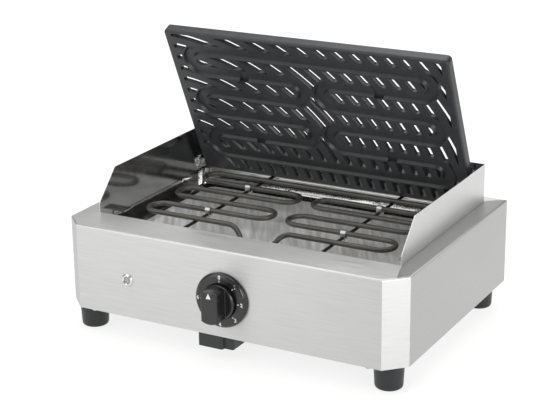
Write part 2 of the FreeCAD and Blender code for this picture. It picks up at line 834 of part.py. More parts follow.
def chute_block(grow, over):
    """The chute's funnel and its straight spout as a solid, grown and run past both ends."""
    z1 = base_z + pan_ledge_h - pan_front_depth - pan_t - chute_gap + over
    z0 = base_z + chute_exit_h
    top = flat_rectangle(drain_w + 2 * grow, drain_l + 2 * grow, z1)
    low = flat_rectangle(chute_exit_w + 2 * grow, chute_exit_l + 2 * grow, z0 + chute_straight)
    funnel = Part.makeLoft([top, low], True, True)
    return funnel.fuse(Part.Face(low).extrude(V(0, 0, -chute_straight - over)))


def drain_chute():
    """Tapered sheet chute from the pan's drain to the drawer."""
    return chute_block(pan_t, 0).cut(chute_block(0, 0.01))


# ---------------------------------------------------------------- grease drawer
def drawer_front():
    """Moulded face flush with the panel, with a set-back shoulder at its right and a finger
    hollow behind it, open below."""
    x0 = drawer_x - drawer_w / 2
    x1 = x0 + drawer_w
    x_step = x0 + drawer_face_w
    y0 = front_y
    y_step = front_y + drawer_step
    plan = [(x0, cup_front), (x0, y0), (x_step, y0), (x_step, y_step), (x1, y_step),
            (x1, cup_front)]
    block = prism([V(x, y, drawer_low) for x, y in plan], V(0, 0, drawer_h))
    for (x, y), radius in (((x0, y0), drawer_corner_r), ((x_step, y0), drawer_step_r),
                           ((x1, y_step), drawer_corner_r)):
        upright = [e for e in block.Edges if e.BoundBox.ZLength > 1
                   and e.CenterOfMass.distanceToPoint(V(x, y, drawer_low + drawer_h / 2)) < 1e-3]
        block = block.makeFillet(radius, upright)
    rim = [e for e in block.Edges if abs(e.BoundBox.ZMax - drawer_low) < 1e-6
           and e.BoundBox.YMin < cup_front - 1e-3]
    block = block.makeFillet(drawer_edge_r, rim)
    hollow = box(drawer_x - finger_w / 2, drawer_x + finger_w / 2, y0 + finger_in,
                 y0 + finger_in + finger_l, drawer_low - 1, drawer_low + finger_depth)
    return block.cut(hollow)


def drawer_cup():
    """Open cup behind the face, with a lip along each side for the rails."""
    x0 = drawer_x - drawer_w / 2 + cup_inset
    x1 = drawer_x + drawer_w / 2 - cup_inset
    rim = drawer_top - cup_down
    cup = box(x0, x1, cup_front, cup_rear, drawer_low, rim)
    uprights = [e for e in cup.Edges if e.BoundBox.ZLength > 1
                and e.BoundBox.YMin > cup_front + 1]
    cup = cup.makeFillet(cup_corner_r, uprights)
    lips = box(x0 - drawer_lip_w, x1 + drawer_lip_w, cup_front, cup_rear - lip_short,
               rim - drawer_lip_t, rim)
    cup = cup.fuse(lips)
    w = drawer_wall
    inside = box(x0 + w, x1 - w, cup_front + w, cup_rear - w, drawer_low + w, drawer_top + 1)
    uprights = [e for e in inside.Edges if e.BoundBox.ZLength > 1]
    cup = cup.cut(inside.makeFillet(cup_corner_r - w, uprights))
    return cup.removeSplitter()


def drawer_rail(side):
    """Folded rail under the base plate: the drawer's lip runs on its inner foot."""
    foot_top = drawer_top - cup_down - drawer_lip_t - slide_gap
    x_web = drawer_x + side * (drawer_w / 2 - cup_inset + drawer_lip_w + slide_gap)
    y0 = front_y + base_flange_w + rail_from_flange
    y1 = cup_rear - rail_short
    pieces = []
    for a, b, z0, z1 in ((0, rail_t, foot_top - rail_t, plate_z),
                         (-rail_under, rail_t, foot_top - rail_t, foot_top),
                         (0, rail_w, plate_z - rail_t, plate_z)):
        x0, x1 = sorted((x_web + side * a, x_web + side * b))
        pieces.append(box(x0, x1, y0, y1, z0, z1))
    return joined(pieces)


# ---------------------------------------------------------------- knob, dial, regulator
def turned(outline, axis_z):
    """A solid turned about the knob's axis: outline of (radius, distance out of the panel)."""
    points = [V(r, front_y - out, axis_z) for r, out in outline]
    face = Part.Face(Part.makePolygon(points + [points[0]]))
    return face.revolve(V(0, 0, axis_z), V(0, 1, 0), 360)


def dial_ring():
    """Fixed flat dial with a rounded rim, on the panel round the knob's boss."""
    hole = boss_d / 2 + dial_gap
    r = dial_d / 2
    ring = turned([(hole, 0), (r, 0), (r, dial_rise), (hole, dial_rise)], knob_axis_z)
    rim = [e for e in ring.Edges if abs(e.BoundBox.YMax - (front_y - dial_rise)) < 1e-6
           and e.BoundBox.XLength > dial_d - 1]
    return ring.makeFillet(dial_round, rim)


def knob_grip():
    """Round boss with a broad grip bar across it, hollow behind, on a D-bored hub."""
    r = boss_d / 2
    boss = turned([(0, knob_off), (r, knob_off), (r, boss_rise - knob_edge),
                   (r - knob_edge, boss_rise), (0, boss_rise)], knob_axis_z)
    bar = rod(V(0, front_y - boss_rise + 2, knob_axis_z), V(0, -1, 0), boss_d - knob_edge,
              knob_reach - boss_rise + 2)
    bar = bar.common(box(-grip_w / 2, grip_w / 2, front_y - knob_reach, front_y,
                         knob_axis_z - r, knob_axis_z + r))
    edges = [e for e in bar.Edges if abs(e.BoundBox.YMax - (front_y - knob_reach)) < 1e-6]
    bar = bar.makeFillet(knob_grip_r, edges)
    knob = boss.fuse(bar)
    cavity = turned([(hub_d / 2, 0), (r - knob_wall, 0), (r - knob_wall, boss_rise - knob_wall),
                     (hub_d / 2, boss_rise - knob_wall)], knob_axis_z)
    return knob.cut(cavity).cut(shaft_bar()).removeSplitter()


def shaft_bar():
    """The regulator's shaft, flat on one side out of the panel."""
    bar = rod(V(0, front_y + shaft_in, knob_axis_z), V(0, -1, 0), shaft_d, shaft_in + shaft_out)
    flat = box(-shaft_d, shaft_d, front_y - shaft_out - 1, front_y - flat_from,
               knob_axis_z + shaft_d / 2 - shaft_flat, knob_axis_z + shaft_d)
    return bar.cut(flat)


def regulator_body():
    """Heat regulator behind the panel: moulded block with a neck round the shaft."""
    y0 = front_y + sheet_t
    block = box(-regulator_w / 2, regulator_w / 2, y0, y0 + regulator_l,
                knob_axis_z - regulator_h / 2, knob_axis_z + regulator_h / 2)
    edges = [e for e in block.Edges if e.BoundBox.YLength > 1]
    block = block.makeFillet(3.0, edges)
    neck = rod(V(0, y0 + 2, knob_axis_z), V(0, -1, 0), neck_d, sheet_t + 2 + neck_out)
    block = block.fuse(neck)
    bore = rod(V(0, front_y + shaft_in, knob_axis_z), V(0, -1, 0),
               shaft_d + 2 * run_clear, shaft_in + neck_out + 1)
    block = block.cut(bore)
    for sx in (-1, 1):
        start = V(sx * regulator_screw_x, y0 - 1, knob_axis_z)
        block = block.cut(rod(start, V(0, 1, 0), regulator_screw_d, regulator_screw_l + 1))
    return block


def regulator_screws():
    """Two screws through the panel into the regulator, under the dial."""
    pieces = []
    for sx in (-1, 1):
        at = V(sx * regulator_screw_x, front_y, knob_axis_z)
        head = rod(at, V(0, -1, 0), regulator_head_d, regulator_head_h)
        shank = rod(at, V(0, 1, 0), regulator_screw_d, sheet_t + regulator_screw_l)
        pieces.append(joined([head, shank]))
    return Part.makeCompound(pieces)


def regulator_tabs():
    """Four push-on tabs on the back of the regulator."""
    y0 = front_y + sheet_t + regulator_l
    pieces = []
    for sx in (-1, 1):
        for sz in (-1, 1):
            x = sx * regulator_w / 4
            z = knob_axis_z + sz * regulator_h / 4
            pieces.append(box(x - tab_t / 2, x + tab_t / 2, y0, y0 + tab_l,
                              z - tab_w / 2, z + tab_w / 2))
    return Part.makeCompound(pieces)


# ---------------------------------------------------------------- pilot lamp
def lamp_turned(outline):
    """A solid turned about the lamp's axis."""
    axis_z = base_z + lamp_z
    solid = turned(outline, axis_z)
    solid.translate(V(lamp_x, 0, 0))
    return solid


def lamp_bezel():
    """Chrome ring with its barrel through the panel."""
    r = lamp_d / 2
    b = lamp_barrel_d / 2
    w = lamp_wall
    return lamp_turned([(b - w, -lamp_barrel_l), (b, -lamp_barrel_l), (b, 0), (r, 0),
                        (r, lamp_edge), (r - lamp_slope, lamp_rise), (b, lamp_rise),
                        (b - w, lamp_rise - w)])


def lamp_lens():
    """Clear lens seated in the bezel's barrel."""
    b = lamp_barrel_d / 2 - lamp_wall
    d = lamp_rise - lamp_edge
    return lamp_turned([(0, -lamp_lens_in), (b, -lamp_lens_in), (b, lamp_edge),
                        (b * 0.9, lamp_edge + d * 0.4), (b * 0.6, lamp_edge + d * 0.8),
                        (0, lamp_edge + d)])


def lamp_body():
    """Lamp holder behind the panel, with its two tabs."""
    b = lamp_barrel_d / 2
    w = lamp_body_wall
    holder = lamp_turned([(b, -sheet_t), (b + w, -sheet_t), (b + w, -lamp_body_l),
                          (0, -lamp_body_l), (0, -lamp_barrel_l), (b, -lamp_barrel_l)])
    pieces = [holder]
    for sx in (-1, 1):
        x = lamp_x + sx * lamp_tab_x
        z = base_z + lamp_z
        pieces.append(box(x - tab_t / 2, x + tab_t / 2, front_y + lamp_body_l,
                          front_y + lamp_body_l + tab_l, z - lamp_tab_w / 2,
                          z + lamp_tab_w / 2))
    return joined(pieces)


# ---------------------------------------------------------------- feet and fasteners
def foot(x, y):
    """Rubber foot, a little narrower and rounded at the floor, with a deep screw hole."""
    low_r = foot_d / 2 - foot_taper
    bevel = foot_round * (1 - math.sqrt(0.5))
    hole_r = foot_hole_d / 2
    bore_r = screw_d / 2 + screw_clear
    outline = [(hole_r, 0), (low_r - foot_round, 0), (low_r - bevel, bevel),
               (low_r, foot_round), (foot_d / 2, foot_h), (bore_r, foot_h),
               (bore_r, foot_hole_h), (hole_r, foot_hole_h)]
    points = [V(x + r, y, z) for r, z in outline]
    face = Part.Face(Part.makePolygon(points + [points[0]]))
    return face.revolve(V(x, y, 0), V(0, 0, 1), 360)


def foot_screws():
    """Screws up through the feet, heads in the deep holes."""
    pieces = []
    for x, y in foot_places:
        head = rod(V(x, y, foot_hole_h), V(0, 0, -1), screw_head_d, screw_head_h)
        shank_l = floor_z - foot_hole_h + nut_t + thread_past
        shank = rod(V(x, y, foot_hole_h), V(0, 0, 1), screw_d, shank_l)
        pieces.append(joined([head, shank]))
    return Part.makeCompound(pieces)


def foot_nuts():
    """Nuts on the foot screws, on the base plate."""
    pieces = []
    for x, y in foot_places:
        nut = hexagon(V(x, y, floor_z), nut_w, nut_t)
        pieces.append(nut.cut(rod(V(x, y, floor_z - 1), V(0, 0, 1), screw_d, nut_t + 2)))
    return Part.makeCompound(pieces)


def case_screws():
    """Screws from below that hold the base plate to the casing's flange."""
    pieces = []
    for x, y in case_screw_places:
        head = rod(V(x, y, base_z), V(0, 0, -1), screw_head_d, screw_head_h)
        rim = [e for e in head.Edges if abs(e.BoundBox.ZMax - (base_z - screw_head_h)) < 1e-6]
        head = head.makeChamfer(screw_head_slope, rim)
        shank = rod(V(x, y, base_z), V(0, 0, 1), screw_d, case_screw_l)
        pieces.append(joined([head, shank]))
    return Part.makeCompound(pieces)


# ---------------------------------------------------------------- cord entry, terminals
def cord_gland():
    """Gland through the rear panel, bored for the cord."""
    z = base_z + gland_z
    axis = V(0, 1, 0)
    nose = rod(V(gland_x, rear_y, z), axis, gland_d, gland_reach)
    rim = [e for e in nose.Edges if abs(e.BoundBox.YMin - (rear_y + gland_reach)) < 1e-6]
    nose = nose.makeChamfer(gland_slope, rim)
    inner_l = sheet_t + gland_nut_t + gland_thread_past
    thread = rod(V(gland_x, rear_y, z), V(0, -1, 0), gland_thread_d, inner_l)
    bore = rod(V(gland_x, rear_y - inner_l - 1, z), axis, gland_bore_d, inner_l + gland_reach + 2)
    return nose.fuse(thread).cut(bore).removeSplitter()


def gland_nut():
    """Hexagonal nut inside the rear panel."""
    z = base_z + gland_z
    nut = hexagon(V(0, 0, 0), gland_nut_w, gland_nut_t)
    nut = nut.cut(rod(V(0, 0, -1), V(0, 0, 1), gland_thread_d, gland_nut_t + 2))
    nut.rotate(V(0, 0, 0), V(1, 0, 0), 90)
    nut.translate(V(gland_x, rear_y - sheet_t, z))
    return nut


def terminal_block():
    """Three-way block on the base plate beside the gland."""
    y1 = rear_y - block_from_rear
    x0 = gland_x + block_from_gland
    block = box(x0, x0 + block_w, y1 - block_d, y1, floor_z, floor_z + block_h)
    for i in range(3):
        x = x0 + block_w * (i + 0.5) / 3
        z = floor_z + block_h / 2
        block = block.cut(rod(V(x, y1 - block_d - 1, z), V(0, 1, 0), block_bore_d, block_d + 2))
    return block


def earth_stud():
    """Earth stud on the base plate, with its nut."""
    at = V(-half_w + earth_in, rear_y - earth_from_rear, floor_z)
    nut = hexagon(at, nut_w, nut_t)
    stud = rod(at, V(0, 0, 1), screw_d, earth_l)
    return joined([nut, stud])


# ---------------------------------------------------------------- write every node
def main():
    os.makedirs("parts", exist_ok=True)
    save("casing_shell", casing_shell())
    save("rear_panel", rear_panel())
    save("base_plate", base_plate())
    save("splash_guard", splash_guard())
    for side, word in ((-1, "left"), (1, "right")):
        save("hinge_bracket_" + word, hinge_bracket(side))
        save("grate_rest_" + word, grate_rest(side))
        save("grate_pin_" + word, open_grate(grate_pin(side)))
        save("support_rod_" + word, support_rod(side))
        save("drawer_rail_" + word, drawer_rail(side))
    save("grate_casting", grate_casting())
    save("heating_element", heating_element())
    save("terminal_bushes", terminal_bushes())
    save("terminal_pins", terminal_pins())
    save("element_plate", element_plate())
    save("element_screws", element_screws())
    save("element_clips", element_clips())
    save("reflector_pan", reflector_pan())
    save("drain_chute", drain_chute())
    save("drawer_front", drawer_front())
    save("drawer_cup", drawer_cup())
    save("dial_ring", dial_ring())
    save("knob_grip", knob_grip())
    save("regulator_shaft", shaft_bar())
    save("regulator_body", regulator_body())
    save("regulator_screws", regulator_screws())
    save("regulator_tabs", regulator_tabs())
    save("lamp_bezel", lamp_bezel())
    save("lamp_lens", lamp_lens())
    save("lamp_body", lamp_body())
    names = ("foot_left_front", "foot_left_rear", "foot_right_front", "foot_right_rear")
    for name, (x, y) in zip(names, foot_places):
        save(name, foot(x, y))
    save("foot_screws", foot_screws())
    save("foot_nuts", foot_nuts())
    save("case_screws", case_screws())
    save("cord_gland", cord_gland())
    save("gland_nut", gland_nut())
    save("terminal_block", terminal_block())
    save("earth_stud", earth_stud())


main()
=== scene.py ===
import bmesh
import bpy
import math
from mathutils import Matrix, Vector


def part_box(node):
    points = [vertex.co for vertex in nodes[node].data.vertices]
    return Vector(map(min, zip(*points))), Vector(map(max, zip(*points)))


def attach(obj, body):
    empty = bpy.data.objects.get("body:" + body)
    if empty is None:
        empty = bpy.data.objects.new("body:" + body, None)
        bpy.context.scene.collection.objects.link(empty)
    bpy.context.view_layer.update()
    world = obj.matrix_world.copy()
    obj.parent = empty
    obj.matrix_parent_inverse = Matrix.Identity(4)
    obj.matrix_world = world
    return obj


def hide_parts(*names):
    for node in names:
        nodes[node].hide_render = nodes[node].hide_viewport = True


# The grill is dressed as it is put together: casing, well, element, grate, controls, drawer,
# feet and the pieces at the rear. Lengths are in metres.
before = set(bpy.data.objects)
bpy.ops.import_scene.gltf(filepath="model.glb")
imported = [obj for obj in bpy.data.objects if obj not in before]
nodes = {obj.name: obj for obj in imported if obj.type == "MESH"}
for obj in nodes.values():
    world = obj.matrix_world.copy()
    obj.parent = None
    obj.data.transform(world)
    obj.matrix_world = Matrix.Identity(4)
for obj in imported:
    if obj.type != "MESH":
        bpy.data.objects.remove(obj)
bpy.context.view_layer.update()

# ------------------------------------------------------------------ casing shell
# Top rim, front, cut corners and sides of one folded stainless sheet, satin brushed along each
# face's length. The rim's grain turns at the mitres, so each stretch takes the light differently.


def mm(*values):
    """Millimetres to metres: one number, or a point."""
    scaled = [v / 1000 for v in values]
    return scaled[0] if len(scaled) == 1 else Vector(scaled)


casing_low, casing_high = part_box("casing_shell")
casing_front, casing_base = casing_low.y, casing_low.z
casing_half, casing_rear = casing_high.x, casing_high.y
well_low, well_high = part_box("splash_guard")
well_half, well_rear, well_front = well_high.x, well_high.y, well_low.y
corner_middle = mm(12.25)


def linear(hex_colour):
    """An sRGB hex colour as the linear colour that shaders take."""
    parts = [int(hex_colour[i:i + 2], 16) / 255 for i in (1, 3, 5)]
    parts = [c / 12.92 if c <= 0.04045 else ((c + 0.055) / 1.055) ** 2.4 for c in parts]
    return (*parts, 1.0)


def add_node(tree, kind, settings=None, links=None, to=None):
    """Adds one node, sets its sockets or properties, and joins it both ways to others."""
    node = tree.nodes.new(kind)
    for key, value in (settings or {}).items():
        if isinstance(key, int) or key in node.inputs:
            node.inputs[key].default_value = value
        else:
            setattr(node, key, value)
    for key, (source, output) in (links or {}).items():
        tree.links.new(source.outputs[output], node.inputs[key])
    for key, (target, output) in (to or {}).items():
        tree.links.new(node.outputs[output], target.inputs[key])
    return node


def finish_of(name, colour, metallic, roughness, **sockets):
    """A material with one Principled shader: itself, its tree, shader and coordinates."""
    material = bpy.data.materials.new(name)
    material.use_nodes = True
    tree = material.node_tree
    tree.nodes.clear()
    settings = {"Base Color": linear(colour), "Metallic": metallic, "Roughness": roughness}
    settings.update(sockets)
    shader = add_node(tree, "ShaderNodeBsdfPrincipled", settings)
    add_node(tree, "ShaderNodeOutputMaterial", links={"Surface": (shader, "BSDF")})
    return material, tree, shader, add_node(tree, "ShaderNodeTexCoord")


def vary(tree, shader, socket, source, low, high):
    """Spreads a pattern over a shader socket, between two numbers or two colours.

    A noise keeps to the middle of its 0-1 range, so the ends are reached at 0.3 and 0.7."""
    ramp = add_node(tree, "ShaderNodeValToRGB", links={"Fac": (source, 0)})
    for element, place, value in zip(ramp.color_ramp.elements, (0.3, 0.7), (low, high)):
        element.position = place
        element.color = linear(value) if isinstance(value, str) else (value, value, value, 1)
    tree.links.new(ramp.outputs["Color"], shader.inputs[socket])
    return ramp


def stand(name, data):
    """A new object in the scene, unturned at the origin, with its place in its mesh."""
    piece = bpy.data.objects.new(name, data)
    bpy.context.scene.collection.objects.link(piece)
    return piece


def seat(name, mesh, body, replaced=()):
    """A new piece that rides on a body and stands for the nodes it replaces."""
    piece = stand(name, mesh)
    if replaced:
        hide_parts(*replaced)
    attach(piece, body)
    return piece


def shade(work, limit):
    """Smooth faces, and a sharp edge wherever they fold by more than a limit in degrees."""
    for face in work.faces:
        face.smooth = True
    for edge in work.edges:
        edge.smooth = edge.calc_face_angle(math.pi) < math.radians(limit)


def dressed_copy(name, body="root", smooth_below=35.0, bevel=0.0, steps=2):
    """A copy of a node's mesh as a piece of its own, welded, smooth up to an angle.

    A face with very many corners can't be bevelled, so it is cut up first."""
    source = nodes[name]
    mesh = bpy.data.meshes.new(name + "_dressed")
    work = bmesh.new()
    work.from_mesh(source.data)
    bmesh.ops.remove_doubles(work, verts=work.verts, dist=mm(0.004))
    bmesh.ops.dissolve_limit(work, angle_limit=math.radians(0.5), verts=work.verts,
                             edges=work.edges)
    if bevel:
        bmesh.ops.triangulate(work, faces=[f for f in work.faces if len(f.verts) > 60])
    shade(work, smooth_below)
    work.to_mesh(mesh)
    work.free()
    piece = seat(name + "_dressed", mesh, body, [name])
    if bevel:
        rounding = piece.modifiers.new("rounded edges", "BEVEL")
        rounding.width = bevel
        rounding.segments = steps
        rounding.limit_method = "ANGLE"
        rounding.angle_limit = math.radians(smooth_below)
        rounding.use_clamp_overlap = False
        rounding.harden_normals = True
    return piece


def wear(piece, material):
    """Puts a material on all of a piece."""
    piece.data.materials.clear()
    piece.data.materials.append(material)
    for face in piece.data.polygons:
        face.material_index = 0


def finish_node(name, material):
    """A node that stays as it is gets its material in its object's slots."""
    node = nodes[name]
    for place in node.material_slots:
        place.link = "OBJECT"
        place.material = material


def lay_grain(piece):
    """UV map whose U runs along the brushing and V across it, in metres."""
    x_axis, y_axis, z_axis = Vector((1, 0, 0)), Vector((0, 1, 0)), Vector((0, 0, 1))
    work = bmesh.new()
    work.from_mesh(piece.data)
    mitres = []
    for side in (-1, 1):
        for y, end_x, end_y in ((well_front, casing_half - corner_middle,
                                 casing_front + corner_middle),
                                (well_rear, casing_half, casing_rear)):
            mitres.append((Vector((side * well_half, y, 0)), Vector((side * end_x, end_y, 0))))
    for start, end in mitres:
        near = [f for f in work.faces if f.normal.z > 0.9]
        around = set()
        for face in near:
            around.update(face.verts)
            around.update(face.edges)
        bmesh.ops.bisect_plane(work, geom=list(around) + near, plane_co=start, dist=1e-6,
                               plane_no=(end - start).cross(z_axis).normalized())
    layer = work.loops.layers.uv.new("grain")
    for face in work.faces:
        n = face.normal
        if n.z > 0.5:
            at = face.calc_center_median()
            start, end = mitres[0 if at.y < 0 else 1]
            slope = (end - start).normalized()
            mitre_x = well_half + abs(slope.x) * (at.y - start.y) / slope.y
            beside = well_front < at.y < well_rear and abs(at.x) > well_half
            level = not (beside or abs(at.x) > mitre_x)
            along, across = (x_axis, y_axis) if level else (y_axis, x_axis)
        else:
            along = Vector((-n.y, n.x, 0))
            along = along.normalized() if along.length > 0.01 else x_axis
            across = z_axis if abs(n.z) < 0.9 else y_axis
        for loop in face.loops:
            loop[layer].uv = (loop.vert.co.dot(along), loop.vert.co.dot(across))
    work.to_mesh(piece.data)
    work.free()


# AISI 304 sheet, 180-grit satin. The scratches are 0.1 mm wide and too fine to show, so the
# pattern is drawn 1.5 mm wide and 60 mm long, faint; the finish reads as soft level streaks.
scratch_length, scratch_width = mm(60), mm(1.5)
cloud_width = mm(71.4)


def brushed_steel(name, colour, roughness, anisotropy, contrast):
    """Satin stainless sheet whose grain follows the piece's own UV map."""
    material, tree, shader, place = finish_of(name, colour, 1.0, roughness,
                                              Anisotropic=anisotropy,
                                              **{"Anisotropic Rotation": 0.25})
    grain = add_node(tree, "ShaderNodeUVMap", {"uv_map": "grain"})
    stretch = add_node(tree, "ShaderNodeMapping",
                       {"Scale": (1 / scratch_length, 1 / scratch_width, 1)},
                       {"Vector": (grain, "UV")})
    streaks = add_node(tree, "ShaderNodeTexNoise",
                       {"Scale": 1.0, "Detail": 3.0, "Roughness": 0.6},
                       {"Vector": (stretch, "Vector")})
    clouds = add_node(tree, "ShaderNodeTexNoise", {"Scale": 1 / cloud_width, "Detail": 2.0},
                      {"Vector": (place, "Object")})
    vary(tree, shader, "Roughness", streaks, roughness - contrast, roughness + contrast)
    tint = add_node(tree, "ShaderNodeMix",
                    {"data_type": "RGBA", "blend_type": "MULTIPLY", 0: 0.3,
                     6: linear(colour)}, {7: (streaks, "Fac")})
    add_node(tree, "ShaderNodeMix", {"data_type": "RGBA", "blend_type": "MULTIPLY", 0: 0.03},
             {6: (tint, 2), 7: (clouds, "Fac")}, {"Base Color": (shader, 2)})
    add_node(tree, "ShaderNodeBump", {"Strength": 0.05, "Distance": mm(0.05)},
             {"Height": (streaks, "Fac")}, {"Normal": (shader, 0)})
    add_node(tree, "ShaderNodeTangent", {"direction_type": "UV_MAP", "uv_map": "grain"},
             to={"Tangent": (shader, 0)})
    return material


satin_stainless = brushed_steel("satin_stainless", "#D6D6D6", 0.42, 0.8, 0.07)
casing = dressed_copy("casing_shell", smooth_below=30)
lay_grain(casing)
wear(casing, satin_stainless)

# ------------------------------------------------------------------ rear panel
# Flat stainless panel between the casing's sides, brushed level, with two folded side edges
# that are spot-welded to them. The cord's gland passes through it.
rear = dressed_copy("rear_panel", smooth_below=30)
lay_grain(rear)
wear(rear, satin_stainless)

# ------------------------------------------------------------------ base plate
# Galvanised steel plate screwed on from below: flat, with cooling slots under the regulator
# and the drain's mouth. Hot-dip zinc shows as a pale spangle, in crystals of about 9 mm.
spangle_size = mm(9)
galvanised, tree, shader, place = finish_of("galvanised_sheet", "#A9ACAE", 0.9, 0.42)
crystals = add_node(tree, "ShaderNodeTexVoronoi", {"Scale": 1 / spangle_size},
                    {"Vector": (place, "Object")})
tone = add_node(tree, "ShaderNodeSeparateColor", links={"Color": (crystals, "Color")})
vary(tree, shader, "Base Color", tone, "#9DA1A4", "#B7BABC")
vary(tree, shader, "Roughness", tone, 0.36, 0.5)
finish_node("base_plate", galvanised)

# ------------------------------------------------------------------ splash guard
# One polished stainless sheet, 0.8 mm, folded round three sides of the well and spot-welded
# inside its flange. It carries the hinge.

# polished sheet: nearly a mirror inside, where faint waves bend what it reflects; the outer
# faces keep the mill's duller finish
sheet_wave = mm(60)
outer_face = well_half - mm(0.4)
bright_stainless, tree, shader, place = finish_of("bright_stainless", "#DADADA", 1.0, 0.12)
waves = add_node(tree, "ShaderNodeTexNoise", {"Scale": 1 / sheet_wave, "Detail": 1.0},
                 {"Vector": (place, "Object")})
polish = add_node(tree, "ShaderNodeTexNoise", {"Scale": 1 / mm(4), "Detail": 4.0},
                  {"Vector": (place, "Object")})
polished = vary(tree, shader, "Roughness", polish, 0.09, 0.17)
axes = add_node(tree, "ShaderNodeSeparateXYZ", links={"Vector": (place, "Object")})
out_by = add_node(tree, "ShaderNodeMath", {"operation": "ABSOLUTE"}, {0: (axes, "X")})
outer = add_node(tree, "ShaderNodeMath", {"operation": "GREATER_THAN", 1: outer_face},
                 {0: (out_by, 0)})
add_node(tree, "ShaderNodeMix", {"data_type": "FLOAT", 3: 0.42},
         {0: (outer, 0), 2: (polished, "Color")}, {"Roughness": (shader, 0)})
add_node(tree, "ShaderNodeBump", {"Strength": 0.5, "Distance": mm(0.6)},
         {"Height": (waves, "Fac")}, {"Normal": (shader, 0)})
guard = dressed_copy("splash_guard", smooth_below=40)
wear(guard, bright_stainless)

# ------------------------------------------------------------------ hinge brackets and rests
# Small punched plates of the same bright sheet, welded to the guard's walls: two carry the
# grate's pins, and two bent tabs take the grate's front corners when it is shut.
for word in ("left", "right"):
    for kind, edge_round in (("hinge_bracket_", mm(0.25)), ("grate_rest_", mm(0.2))):
        wear(dressed_copy(kind + word, bevel=edge_round), bright_stainless)

# ------------------------------------------------------------------ reflector pan
# Pressed bright pan under the element: an upright wall, a ledge and a dished floor that falls
# to the drain. It hangs by its flange inside the casing.

# deep-drawn bright sheet: wall and ledge stay mirrors, the floor is drawn into fine ripples that
# run askew and break up what it reflects; along them the floor's colour carries painted reflection
# streaks, and the floor is half diffuse near white, a painted bright reflection
draw_width = mm(6)
draw_length = mm(95)
draw_angle = math.radians(29)
ledge_level = casing_base + mm(81)
pan_bright, tree, shader, place = finish_of("pressed_bright_pan", "#F4F4F3", 0.4, 0.42)
drawn = add_node(tree, "ShaderNodeMapping",
                 {"vector_type": "TEXTURE", "Rotation": (0, 0, draw_angle),
                  "Scale": (draw_width, draw_length, draw_length)},
                 {"Vector": (place, "Object")})
ripples_and_painted_streaks = add_node(tree, "ShaderNodeTexNoise", {"Scale": 1.0, "Detail": 2.0, "Distortion": 0.4},
                   {"Vector": (drawn, "Vector")})
haze = add_node(tree, "ShaderNodeTexNoise", {"Scale": 1 / mm(30), "Detail": 4.0},
                {"Vector": (place, "Object")})
dulled = vary(tree, shader, "Roughness", haze, 0.34, 0.5)
height = add_node(tree, "ShaderNodeSeparateXYZ", links={"Vector": (place, "Object")})
raised = add_node(tree, "ShaderNodeMath", {"operation": "GREATER_THAN", 1: ledge_level},
                  {0: (height, "Z")})
add_node(tree, "ShaderNodeMix", {"data_type": "FLOAT", 3: 0.1},
         {0: (raised, 0), 2: (dulled, "Color")}, {"Roughness": (shader, 0)})
# the floor is only half metal: its near-white diffuse part is painted brightness in place of a
# reflection
add_node(tree, "ShaderNodeMix", {"data_type": "FLOAT", 2: 0.5, 3: 1.0}, {0: (raised, 0)},
         {"Metallic": (shader, 0)})
# painted reflection streaks: the floor's colour runs from light grey to near white along the
# ripples
painted_reflection_streaks = vary(tree, shader, "Base Color", ripples_and_painted_streaks, "#CECECC", "#FAFAF9")
add_node(tree, "ShaderNodeMix", {"data_type": "RGBA", 7: linear("#C9C9C8")},
         {0: (raised, 0), 6: (painted_reflection_streaks, "Color")}, {"Base Color": (shader, 2)})
add_node(tree, "ShaderNodeBump", {"Strength": 0.6, "Distance": mm(0.5)},
         {"Height": (ripples_and_painted_streaks, "Fac")}, {"Normal": (shader, 0)})
pan = dressed_copy("reflector_pan", smooth_below=50)
wear(pan, pan_bright)

# ------------------------------------------------------------------ drain chute
# Chute folded from the base plate's galvanised sheet, open at both ends. It is fixed under the
# pan's drain and takes the grease through the base plate to the drawer.
chute = dressed_copy("drain_chute", smooth_below=30, bevel=mm(0.15))
wear(chute, galvanised)

# ------------------------------------------------------------------ heating element
# One tube of heat-resisting nickel steel, 6.5 mm, bent cold to a serpentine in two halves. Its
# two legs bend down and leave through the front wall, where a plate holds them.
tube_diameter = mm(6.5)
tube_level = casing_base + mm(107)
first_run, run_pitch = mm(39), mm(35)
runs = [well_rear - first_run - run_pitch * i for i in range(6)]
turn_out = mm(173.5)
turn_in = mm(11.5)
turn_radius = mm(17.49)
leg_end = well_front - mm(10)
leg_height = casing_base + mm(94)
left_leg_x, right_leg_x = mm(-21.6), mm(27.4)

# each corner of the route with the radius it is bent to
route = [(Vector((left_leg_x, leg_end, leg_height)), 0.0),
         (Vector((left_leg_x, runs[-1] - mm(11.1), leg_height)), mm(13.4)),
         (Vector((mm(-38.3), runs[-1], tube_level)), mm(23.5))]
right_leg = [(Vector((mm(31.5), runs[-1], tube_level)), mm(15.5)),
             (Vector((right_leg_x, runs[-1] - mm(12), tube_level - mm(7.4))), mm(10)),
             (Vector((right_leg_x, runs[-1] - mm(38), leg_height)), mm(12.3)),
             (Vector((right_leg_x, leg_end, leg_height)), 0.0)]
for side in (-1, 1):
    for i in range(5, 0, -1) if side < 0 else range(5):
        reach = turn_out if min(i, i + side) % 2 == 0 else turn_in
        for y in (runs[i], runs[i + side]):
            route.append((Vector((side * reach, y, tube_level)), turn_radius))
route += right_leg

path_mesh = bpy.data.meshes.new("element_route")
path_mesh.from_pydata([tuple(p) for p, bend in route],
                      [(i, i + 1) for i in range(len(route) - 1)], [])
bend_layer = path_mesh.attributes.new("bend", "FLOAT", "POINT")
bend_layer.data.foreach_set("value", [bend for p, bend in route])


def open_tree(name, result, **kinds):
    """A geometry tree with named inputs and one result; returns it and what it is given."""
    tree = bpy.data.node_groups.new(name, "GeometryNodeTree")
    for label, kind in kinds.items():
        tree.interface.new_socket(label.replace("_", " "), in_out="INPUT",
                                  socket_type="NodeSocket" + kind)
    tree.interface.new_socket(result, in_out="OUTPUT", socket_type="NodeSocketGeometry")
    return tree, add_node(tree, "NodeGroupInput")


